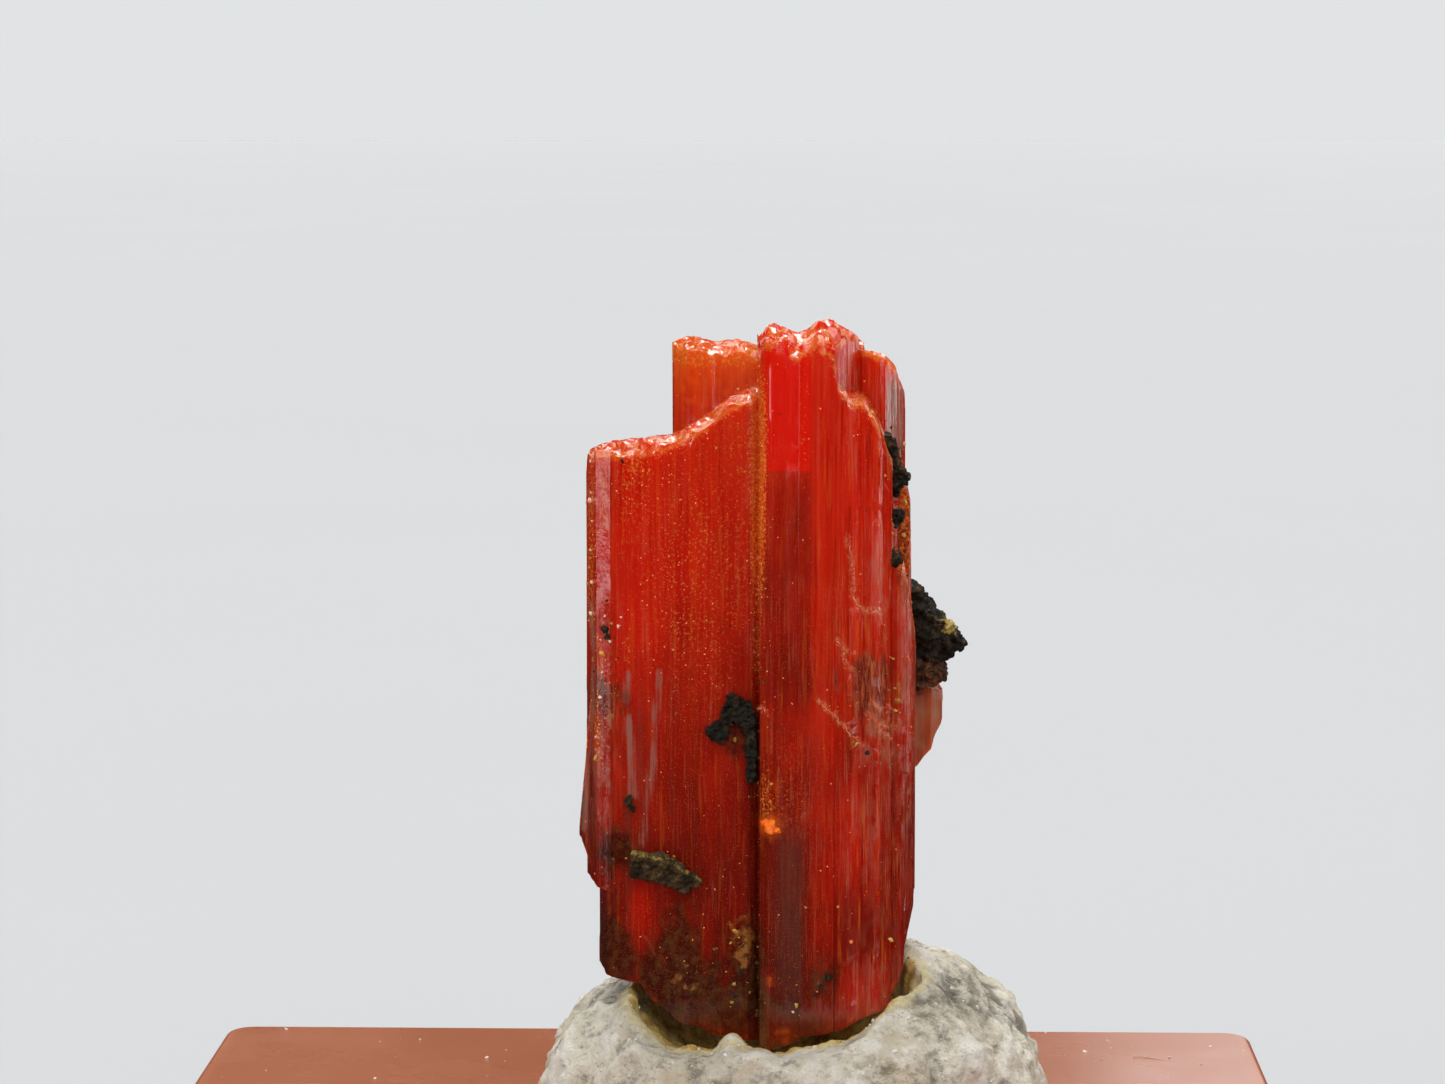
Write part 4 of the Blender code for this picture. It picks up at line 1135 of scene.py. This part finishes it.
# Chips and crumbs on the front: place across, height and size
BITS = {
    "ember": [
        (1.36, 16.14, 0.25), (1.22, 16.24, 0.17), (1.48, 16.02, 0.15), (1.15, 16.83, 0.055),
        (1.19, 19.44, 0.04), (3.47, 13.09, 0.07),
    ],
    "ochre": [
        (3.61, 18.38, 0.07), (2.05, 11.39, 0.08), (4.5, 13.1, 0.095), (3.26, 20.74, 0.07),
        (3.97, 27.07, 0.055), (4.83, 26.03, 0.07), (4.87, 24.57, 0.07), (0.28, 12.88, 0.055),
        (0.41, 13.21, 0.07), (4.55, 20.56, 0.055), (4.6, 19.77, 0.055), (4.63, 19.19, 0.055),
        (2.28, 14.02, 0.04), (1.36, 17.28, 0.055), (3.13, 14.03, 0.055), (-3.3, 17.8, 0.1),
        (-3.12, 20.6, 0.09),
    ],
    # Pale chips stand in for glints: painted highlights
    "pale": [
        (-3.44, 25.66, 0.15), (-3.42, 24.83, 0.12), (-3.45, 24.6, 0.17), (-3.4, 24.08, 0.13),
        (-3.45, 23.3, 0.12), (-3.41, 22.45, 0.14), (-3.44, 21.6, 0.12),
        (-3.04, 21.6, 0.13), (-3.1, 21.42, 0.1), (-3.16, 20.96, 0.1), (-2.68, 21.37, 0.12),
        (-2.6, 21.62, 0.09), (-2.89, 20.94, 0.13), (-3.13, 20.11, 0.09), (-3.18, 19.44, 0.11),
        (-3.21, 18.69, 0.09), (-3.29, 18.37, 0.13), (-3.32, 18.0, 0.09),
        (4.47, 20.64, 0.04), (1.25, 20.26, 0.04), (0.82, 22.9, 0.04), (2.37, 23.8, 0.04),
        (1.17, 19.44, 0.04), (0.41, 23.29, 0.04), (-3.14, 19.55, 0.055), (-3.25, 18.51, 0.055),
        (-2.65, 26.01, 0.07), (-2.44, 26.09, 0.08), (-2.28, 25.91, 0.055), (-2.81, 25.75, 0.04),
        (-2.97, 25.33, 0.04), (-3.02, 24.36, 0.04), (2.93, 17.32, 0.055), (1.95, 11.2, 0.08),
        (-2.55, 24.75, 0.055), (-2.34, 24.36, 0.04), (-2.71, 24.96, 0.04), (-1.24, 26.3, 0.04),
        (-1.5, 26.38, 0.055), (-0.4, 26.75, 0.04), (0.4, 27.43, 0.055), (0.64, 27.54, 0.055),
    ],
    "dark": [
        (-2.4, 16.72, 0.17), (-2.3, 16.52, 0.14), (-3.06, 21.25, 0.12), (-2.98, 21.05, 0.09),
        (-2.95, 15.26, 0.1), (3.88, 18.12, 0.08), (2.87, 12.15, 0.12),
        (2.66, 11.88, 0.08), (-2.55, 25.73, 0.055), (-3.0, 22.01, 0.055), (-2.87, 21.38, 0.055),
        (-2.77, 21.06, 0.04), (-2.67, 20.74, 0.04), (0.54, 12.13, 0.07), (0.41, 11.46, 0.08),
        (0.36, 11.86, 0.07), (-2.69, 20.53, 0.04),
    ],
}


def front_of(tree, x, z):
    """The foremost point of the crystal at a place seen from the front."""
    hit = tree.ray_cast((x, -9.0, z), (0.0, 1.0, 0.0))
    return hit[0]


def edges_and_bits(mesh, materials):
    """Ragged bright edges, their pink partly painted highlight, and single chips, all laid on the crystal's
    front.
    """
    tree = rays_into(mesh)
    points, links = [], []
    for line in EDGES:
        start = len(points)
        for (x1, z1), (x2, z2) in zip(line, line[1:]):
            parts = max(2, int(math.hypot(x2 - x1, z2 - z1) / EDGE_STEP))
            for i in range(parts):
                spot = front_of(tree, x1 + (x2 - x1) * i / parts, z1 + (z2 - z1) * i / parts)
                if spot:
                    points.append(spot)
        links += [(i, i + 1) for i in range(start, len(points) - 1)]
    lines = bpy.data.meshes.new("edge_lines")
    lines.from_pydata(points, links, [])
    strew(ridge_tree(), "broken_edges", lines, materials["edge"], "crocoite", sharp=35.0,
          width=0.017, ragged=0.036, seed=7)
    rng = np.random.default_rng(12)
    for kind, spots in BITS.items():
        chips = []
        for x, z, size in spots:
            place = front_of(tree, x, z)
            if place:
                spread = (0.85, 1.1) if kind == "ember" else (0.6, 1.3)
                reach = size * (0.5 if kind == "pale" else 1.0) * rng.uniform(*spread, 3)
                chips.append((*place, *reach, rng.uniform(-40.0, 40.0)))
        made = cluster(kind + "_chips", chips, CHIP_VOXEL, 31)
        roughen(made.data, [(0.1, 0.016), (0.05, 0.008)])
        finish_piece(made, materials[kind], sharp=30.0)


def crystal(material, specks, crumbs, bit_materials):
    """The united prisms, with the flakes, edges, chips and crumbs that sit on them."""
    made = join_prisms("crocoite_prisms", PRISMS, 40)
    paint_crystal(made.data)
    grains = grain_tree()
    strew(grains, "gold_specks", made.data, specks, "crocoite", where="specks", density=60.0,
          least=0.006, most=0.026, flatness=0.5, tumble=0.6, seed=5)
    strew(grains, "matrix_crumbs", made.data, crumbs, "gossan", where="crumbs", density=16.0,
          least=0.014, most=0.075, flatness=0.8, tumble=1.5, seed=9)
    edges_and_bits(made.data, bit_materials)
    return finish_piece(made, material, ["crocoite_crystal"], sharp=9.0)


def side_crystal(material):
    made = striated_prism("pale_side_prism", SIDE_PRISM, 90)
    return finish_piece(made, material, ["side_crystal"], sharp=12.0)


# Gossan

# Each piece's outline seen from the front, and its front and back
CRUSTS = {
    "gossan_lump_right": [(0.1, 1.3, [
        (5.06, 22.15), (5.28, 22.07), (5.42, 21.8), (5.64, 21.53), (5.85, 21.28), (6.01, 21.23),
        (6.2, 21.04), (6.31, 20.88), (6.5, 20.63), (6.42, 20.44), (6.26, 20.47), (6.13, 20.25),
        (5.89, 20.09), (6.0, 19.9), (6.0, 19.68), (5.86, 19.56), (5.59, 19.5), (5.06, 19.44),
    ])],
    "gossan_wedge_left": [(-2.46, -2.0, [
        (-2.35, 15.35), (-2.22, 15.44), (-2.06, 15.36), (-1.9, 15.25), (-1.71, 15.3), (-1.5, 15.31),
        (-1.37, 15.2), (-1.21, 15.12), (-1.05, 15.07), (-0.95, 14.93), (-0.81, 14.8), (-0.63, 14.77),
        (-0.52, 14.69), (-0.6, 14.53), (-0.79, 14.4), (-0.92, 14.29), (-1.13, 14.39), (-1.37, 14.53),
        (-1.71, 14.61), (-1.98, 14.66), (-2.22, 14.68), (-2.35, 14.84), (-2.27, 15.09),
    ]), (-2.56, -2.2, [
        (-2.25, 15.2), (-2.22, 15.38), (-1.7, 15.27), (-1.4, 15.2), (-1.05, 15.02), (-0.9, 14.86),
        (-1.1, 14.86), (-1.45, 15.02), (-1.75, 15.1),
    ])],
    "gossan_crust_groove": [(-2.28, -1.9, [
        (0.34, 19.59), (0.48, 19.51), (0.58, 19.41), (0.77, 19.43), (0.85, 19.3), (0.9, 19.06),
        (0.94, 18.77), (0.96, 18.37), (0.98, 17.94), (0.92, 17.62), (0.9, 17.26), (0.78, 17.26),
        (0.72, 17.62), (0.69, 17.97), (0.72, 18.26), (0.72, 18.5), (0.62, 18.67), (0.48, 18.81),
        (0.35, 18.91), (0.26, 18.72), (0.18, 18.48), (0.06, 18.32), (-0.05, 18.32), (-0.16, 18.42),
        (-0.31, 18.48), (-0.36, 18.63), (-0.21, 18.78), (-0.02, 18.82), (0.06, 18.95), (0.09, 19.11),
        (0.17, 19.35), (0.22, 19.54),
    ])],
    "gossan_bit_upper": [(-2.24, -1.7, [
        (4.29, 26.46), (4.45, 26.43), (4.6, 26.3), (4.66, 26.09), (4.63, 25.88), (4.76, 25.65),
        (4.87, 25.46), (4.95, 25.3), (4.87, 25.15), (4.74, 25.04), (4.66, 24.86), (4.58, 24.84),
        (4.51, 25.04), (4.51, 25.36), (4.54, 25.62), (4.46, 25.78), (4.4, 26.04), (4.29, 26.25),
    ])],
    "gossan_bit_middle": [(-2.22, -1.8, [
        (4.54, 24.43), (4.76, 24.46), (4.84, 24.3), (4.77, 24.1), (4.6, 24.02), (4.52, 24.17),
    ])],
    "gossan_bit_lower": [(-2.36, -1.9, [
        (4.36, 23.57), (4.54, 23.46), (4.69, 23.34), (4.74, 23.15), (4.59, 23.0), (4.39, 22.97),
        (4.31, 23.21),
    ])],
}

# How fine each crust is and how olive, where it differs from the small bits
CRUST_VOXELS = {"gossan_lump_right": 0.045, "gossan_wedge_left": 0.035, "gossan_crust_groove": 0.035}
OLIVE = {"gossan_wedge_left": 1.0, "gossan_lump_right": 0.15, "gossan_crust_groove": 0.0}


def chunk(place, reach, turn, rng):
    """An angular lump: the hull of points strewn over an ellipsoid and turned about Y."""
    spots = rng.normal(0.0, 1.0, (16, 3))
    spots /= np.linalg.norm(spots, axis=1)[:, None]
    spots *= np.array(reach) * rng.uniform(0.88, 1.12, (16, 1))
    shape = bmesh.new()
    for spot in spots:
        shape.verts.new(spot)
    bmesh.ops.convex_hull(shape, input=shape.verts)
    shape.transform(Matrix.Translation(place) @ Matrix.Rotation(math.radians(turn), 4, "Y"))
    return shape


def cluster(name, lumps, voxel, seed):
    """Angular lumps grown together in one closed, evenly fine skin."""
    rng = np.random.default_rng(seed)
    mesh = bpy.data.meshes.new(name)
    whole = bmesh.new()
    for x, y, z, wide, deep, tall, turn in lumps:
        part = chunk((x, y, z), (wide, deep, tall), turn, rng)
        part.to_mesh(mesh)
        part.free()
        whole.from_mesh(mesh)
    whole.to_mesh(mesh)
    whole.free()
    made = add_object(name, mesh)
    add_skin(made, voxel)
    return settle(made)


def fine_copy(node, name, voxel):
    """A closed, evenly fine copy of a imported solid, in millimetres."""
    made = add_object(name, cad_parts[node].data.copy())
    made.data.transform(Matrix.Scale(1.0 / MM, 4))
    weld = made.modifiers.new("weld", "WELD")
    weld.merge_threshold = 0.0001
    add_skin(made, voxel)
    return settle(made)


def roughen(mesh, layers):
    """Pushes the surface in and out by noise: pairs of lump size and depth."""
    points, normals = points_of(mesh), normals_of(mesh)
    push = np.zeros(len(points))
    for i, (size, depth) in enumerate(layers):
        push += depth * ripple(points, size, i + 2, 3)
    move_points(mesh, points + normals * push[:, None])


def crust(name, layers, voxel):
    """Closed lumps with the given outlines seen from the front, rounded and grown together."""
    shape = bmesh.new()
    for near, far, outline in layers:
        ring = [shape.verts.new((x, near, z)) for x, z in outline]
        back = [shape.verts.new((x, far, z)) for x, z in outline]
        shape.faces.new(ring)
        shape.faces.new(back[::-1])
        for i in range(len(ring)):
            j = (i + 1) % len(ring)
            shape.faces.new((ring[i], back[i], back[j], ring[j]))
    bmesh.ops.recalc_face_normals(shape, faces=shape.faces)
    mesh = bpy.data.meshes.new(name)
    shape.to_mesh(mesh)
    shape.free()
    made = add_object(name, mesh)
    add_skin(made, voxel)
    soft = made.modifiers.new("soft", "SMOOTH")
    soft.factor = 0.6
    soft.iterations = 4
    return settle(made)


def gossan_piece(node, material):
    """One piece of matrix crust, knobbly and pitted."""
    made = crust(node + "_crust", CRUSTS[node], CRUST_VOXELS.get(node, 0.03))
    size = 0.55 if node == "gossan_lump_right" else 0.3
    roughen(made.data, [(size, 0.28 * size), (0.4 * size, 0.24 * size), (0.07, 0.035)])
    points, normals = points_of(made.data), normals_of(made.data)
    x, y, z = points.T
    # Upward faces get more ochre, so the lumps are lighter on top.
    up = np.clip(normals[:, 2] - 0.25, 0.0, 1.0)
    rust = np.zeros(len(points))
    if node == "gossan_wedge_left":
        edge = np.interp(x, (-2.3, -1.9, -1.4, -0.9, -0.5), (15.38, 15.27, 15.22, 14.9, 14.7))
        ochre = 0.62 * np.exp(-((edge - z) / 0.13) ** 2) + 0.25 * (x < -1.9) * up
    elif node == "gossan_lump_right":
        ochre = 1.0 * np.exp(-((x - 6.1) / 0.26) ** 2 - ((z - 21.08) / 0.24) ** 2) + 0.45 * up
        rust = 0.9 * np.clip((20.35 - z) / 0.4, 0.0, 1.0) + 0.35 * (x < 5.4)
    elif node == "gossan_crust_groove":
        ochre = np.full(len(points), 0.05)
    else:
        ochre = 0.25 + 0.4 * up
    keep_value(made.data, "ochre", ochre)
    keep_value(made.data, "rust", rust)
    keep_value(made.data, "olive", np.full(len(points), OLIVE.get(node, 0.5)))
    return finish_piece(made, material, [node], sharp=24.0)


# Putty

def swell(points, place, reach, lift):
    """A soft push in the lift direction round a place."""
    away = (((points - np.array(place)) / np.array(reach)) ** 2).sum(1)
    return np.exp(-away)[:, None] * np.array(lift)


# Height of the putty's front rim, from left to right
RIM_LINE = [
    (-4.2, 11.6), (-3.2, 11.25), (-2.4, 10.85), (-2.04, 10.5), (-1.11, 10.4), (-0.02, 10.52),
    (1.07, 10.62), (1.79, 10.42), (2.16, 10.55), (3.27, 10.74), (3.81, 11.02), (4.35, 11.42),
    (4.56, 11.66), (5.2, 12.06), (6.0, 12.2),
]
LUMP_IN_RIM = (0.38, -4.45, 10.45)

# Soft pushes into the lump: place, reach and lift
PUSHES = [
    ((-2.6, -3.6, 12.0), (0.8, 0.9, 0.5), (-0.1, 0.0, 0.3)),
    ((-2.2, -3.7, 11.2), (0.8, 1.0, 0.9), (-0.38, 0.0, -0.1)),
    ((4.9, -2.4, 11.9), (0.9, 1.2, 0.8), (0.15, 0.0, 0.2)),
    ((-4.2, -2.5, 9.4), (1.4, 2.0, 1.0), (-0.15, 0.0, 0.1)),
    ((6.9, -1.5, 10.2), (1.2, 2.0, 0.8), (-0.25, 0.0, -0.1)),
]


def putty(material, crumbs, dust):
    """The pressed lump: kneaded sides with folds, a torn rim, a browned hollow and grit."""
    made = fine_copy("mounting_putty", "putty_lump", PUTTY_VOXEL)
    mesh = made.data
    points = points_of(mesh)
    for push in PUSHES:
        points += swell(points, *push)
    rim_x, rim_z = zip(*RIM_LINE)
    limit = np.interp(points[:, 0], rim_x, rim_z) - 0.05 * np.abs(points[:, 1] + 5.0)
    over = np.maximum(points[:, 2] - limit, 0.0) * np.clip((-3.0 - points[:, 1]) / 0.8, 0.0, 1.0)
    points[:, 2] -= over
    points += swell(points, LUMP_IN_RIM, (0.3, 0.45, 0.5), (0.0, 0.1, 0.34))
    move_points(mesh, points)
    normals = normals_of(mesh)
    knead = ripple(points, 1.7, 15, 3)
    crease = np.exp(-(knead / 0.07) ** 2)
    lumps = 0.26 * ripple(points, 2.6, 2, 2) + 0.16 * ripple(points, 1.1, 3, 2)
    lumps += 0.085 * ripple(points, 0.5, 4, 3)
    quiet = np.clip((points[:, 2] - 6.5) / 0.8, 0.0, 1.0)
    quiet *= 1.0 - 0.7 * np.exp(-((points[:, 1] + 4.9) / 0.5) ** 2) * (normals[:, 2] > 0.2)
    push = (lumps - 0.05 * crease) * quiet + 0.03 * ripple(points, 0.2, 5, 2)
    points = points + normals * push[:, None]
    low, high = (np.array(corner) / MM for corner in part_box("mounting_putty"))
    points = np.clip(points, low - 0.05, high + 0.05)
    points[:, 2] = np.maximum(points[:, 2], low[2])
    move_points(mesh, points)
    x, y, z = points.T
    away = np.sqrt(((x - 1.35) / 3.9) ** 2 + ((y + 1.9) / 3.0) ** 2 + ((z - 12.2) / 3.4) ** 2)
    away += 0.03 * ripple(points, 0.8, 6, 2)
    knob = np.exp(-(((points - LUMP_IN_RIM) / (0.36, 0.5, 0.6)) ** 2).sum(1))
    hollow = np.clip((1.06 - away) / 0.1, 0.0, 1.0)
    keep_value(mesh, "hollow", hollow - knob)
    keep_value(mesh, "rim", np.exp(-((away - 1.05) / 0.05) ** 2))
    stain = 0.55 * np.exp(-((away - 1.06) / 0.09) ** 2) + 0.15 * np.exp(-((away - 1.2) / 0.2) ** 2)
    keep_value(mesh, "stain", stain)
    # How deep in the kneaded folds each point lies, for the painted shade and highlights.
    keep_value(mesh, "fold_shade_and_highlight", 0.42 - 2.0 * lumps + 0.15 * crease)
    # Painted shadow under the crystal's right side, with dark stain, and darker towards the right end.
    dark = 0.5 * np.exp(-((x - 5.8) / 1.2) ** 2 - ((z - 11.4) / 0.9) ** 2)
    dark += 0.25 * np.clip((x - 4.0) / 4.0, 0.0, 1.0)
    keep_value(mesh, "dark", dark)
    keep_value(mesh, "grit", 0.25 + 0.75 * np.clip(ripple(points, 2.0, 12, 2) * 2.0, 0.0, 1.0))
    grains = grain_tree()
    strew(grains, "putty_grit", mesh, dust, "putty", where="grit", density=7.0,
          least=0.015, most=0.075, flatness=0.7, tumble=1.0, seed=3)
    strew(grains, "putty_crumbs", mesh, crumbs, "gossan", where="hollow", density=6.0,
          least=0.015, most=0.09, flatness=0.8, tumble=1.0, seed=8)
    return finish_piece(made, material, ["mounting_putty"], sharp=70.0)


# Slab

def slab(material, dust):
    """Square slab with round corners and softly eased edges."""
    low, high = (np.array(corner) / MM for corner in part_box("base_slab"))
    corner, ease, steps = 0.9, 0.25, 10
    side = high[0]
    ring = []
    for turn in range(4):
        for i in range(steps + 1):
            angle = (turn + i / steps) * math.pi / 2.0
            centre = Matrix.Rotation(turn * math.pi / 2.0, 2) @ Vector((side - corner, side - corner))
            ring.append((centre.x, centre.y, math.cos(angle), math.sin(angle)))
    ring = np.array(ring)
    turns = np.linspace(0.0, math.pi / 2.0, 6)
    levels = [(low[2] + ease * (1.0 - math.cos(a)), corner - ease * (1.0 - math.sin(a))) for a in turns]
    levels += [(high[2] - ease * (1.0 - math.sin(a)), corner - ease * (1.0 - math.cos(a))) for a in turns]
    points = [np.column_stack([ring[:, :2] + ring[:, 2:] * reach, np.full(len(ring), z)])
              for z, reach in levels]
    count = len(ring)
    faces = grid_faces(len(levels), count, closed=True)
    faces.append(tuple(reversed(range(count))))
    faces.append(tuple(range((len(levels) - 1) * count, len(levels) * count)))
    made = add_object("display_slab", mesh_of("display_slab", np.vstack(points), faces))
    top = add_object("slab_top", mesh_of("slab_top", points[-1], [tuple(range(count))]))
    keep_value(top.data, "top", np.ones(count))
    strew(grain_tree(), "slab_dust", top.data, dust, "slab", where="top", density=0.35,
          least=0.015, most=0.07, flatness=0.6, tumble=0.8, seed=2)
    strew(fibre_tree(), "slab_lint", top.data, dust, "slab", where="top", density=0.02,
          length=2.4, thickness=0.012, curl=1.6, seed=6)
    bpy.data.objects.remove(top)
    return finish_piece(made, material, ["base_slab"], sharp=30.0)


# Studio

# In metres: the lamps stand far off, so that they light the floor evenly, and aim at the crystal's middle
LAMP_DISTANCE = 14.0
LAMP_AIM = 0.018

# The room's greys: as fill, in reflections and to the eye
ROOM_GREYS = (0.36, 0.012, 0.768)

# Where the photographer's lens was, in millimetres, and how far it looked down and turned left, in degrees
LENS_PLACE = (3.078, -106.38, 35.279)
LENS_DOWN = 6.38
LENS_LEFT = 1.654


def floor(material):
    """A wide pale sheet."""
    reach = 3000.0
    marks = np.linspace(-reach, reach, 7)
    points = [(x, y, -0.02) for y in marks for x in marks]
    faces = grid_faces(len(marks), len(marks), closed=False)
    made = add_object("floor", mesh_of("floor", points, faces))
    made.data.transform(Matrix.Scale(MM, 4))
    made.data.materials.append(material)
    made.visible_glossy = False


def softbox(name, azimuth, elevation, wide, tall, radiance):
    """A rectangular lamp aimed at the crystal, sized by the angles that it fills, in degrees.

    Azimuth 0 is in front and 90 on the right.
    """
    lamp = bpy.data.lights.new(name, "AREA")
    lamp.shape = "RECTANGLE"
    lamp.size = 2.0 * LAMP_DISTANCE * math.tan(math.radians(wide / 2.0))
    lamp.size_y = 2.0 * LAMP_DISTANCE * math.tan(math.radians(tall / 2.0))
    lamp.energy = radiance * math.pi * lamp.size * lamp.size_y
    made = add_object(name, lamp)
    across, up = math.radians(azimuth), math.radians(elevation)
    way = Vector((math.sin(across) * math.cos(up), -math.cos(across) * math.cos(up), math.sin(up)))
    made.location = Vector((0.0, 0.0, LAMP_AIM)) + way * LAMP_DISTANCE
    made.rotation_euler = way.to_track_quat("Z", "Y").to_euler()
    made.visible_camera = False
    return made


def lights():
    softbox("left_softbox", -54, 15, 32, 42, 2.1)
    softbox("front_softbox", -27, 20, 22, 40, 0.45)
    softbox("right_strip", 118, 14, 17, 42, 2.5)
    softbox("back_strip", 171, 11, 9, 18, 1.5)
    softbox("back_left_softbox", -158, 37, 26, 28, 2.2)
    softbox("top_softbox", 172, 69, 30, 24, 10.0)
    sun = bpy.data.lights.new("room_light", "SUN")
    sun.energy = 1.5
    sun.angle = math.radians(50.0)
    made = add_object("room_light", sun)
    made.rotation_euler = Euler((math.radians(38.0), math.radians(12.0), 0.0))


def surroundings():
    """The room beyond the lamps: pale to the eye, soft as fill, and dark in reflections."""
    world = bpy.data.worlds.new("studio")
    bpy.context.scene.world = world
    world.use_nodes = True
    world.node_tree.nodes.clear()
    nodes = Nodes(world.node_tree)
    shades = [nodes.node("ShaderNodeBackground", None, {"Color": (grey * 0.98, grey, grey * 1.01, 1.0)})
              for grey in ROOM_GREYS]
    path = nodes.node("ShaderNodeLightPath")
    shown = shades[0]
    for ray, shade in zip(("Is Glossy Ray", "Is Camera Ray"), shades[1:]):
        shown = nodes.node("ShaderNodeMixShader", None, {0: path.other(ray), 1: shown, 2: shade})
    nodes.node("ShaderNodeOutputWorld", None, {"Surface": shown})


def camera():
    """Stands where the photographer's did: low in front, a little to the right, with a long lens."""
    lens = bpy.data.cameras.new("camera")
    lens.sensor_width = 36.0
    lens.lens = 99.65
    lens.clip_start = 0.005
    lens.clip_end = 10.0
    made = add_object("camera", lens)
    made.location = Vector(LENS_PLACE) * MM
    made.rotation_euler = Euler((math.radians(90.0 - LENS_DOWN), 0.0, math.radians(LENS_LEFT)))
    bpy.context.scene.camera = made


def main():
    gossan = gossan_finish()
    crumbs = crumb_finish()
    dust = dust_finish()
    chips = {
        # The ridges' pink is partly painted highlight.
        "edge": bit_finish("broken edge", (0.64, 0.06, 0.02), (0.9, 0.3, 0.16), 0.24, gloss=0.35),
        "ember": bit_finish("ember chips", (0.92, 0.075, 0.003), (1.0, 0.26, 0.02), 0.1),
        "ochre": bit_finish("ochre chips", (0.52, 0.24, 0.03), (0.85, 0.52, 0.1), 0.45),
        # Pale chips: painted highlights standing in for glints.
        "pale": bit_finish("pale chips", (0.8, 0.3, 0.16), (0.95, 0.72, 0.58), 0.2),
        "dark": bit_finish("dark chips", (0.008, 0.006, 0.003), (0.04, 0.028, 0.014), 0.55, gloss=0.15),
    }
    crystal(crocoite_finish(), speck_finish(), crumbs, chips)
    side_crystal(pale_finish())
    for node in CRUSTS:
        gossan_piece(node, gossan)
    putty(putty_finish(), crumbs, dust)
    slab(slab_finish(), dust)
    floor(floor_finish())
    lights()
    surroundings()
    camera()
    bpy.context.scene.view_settings.view_transform = "Standard"


main()
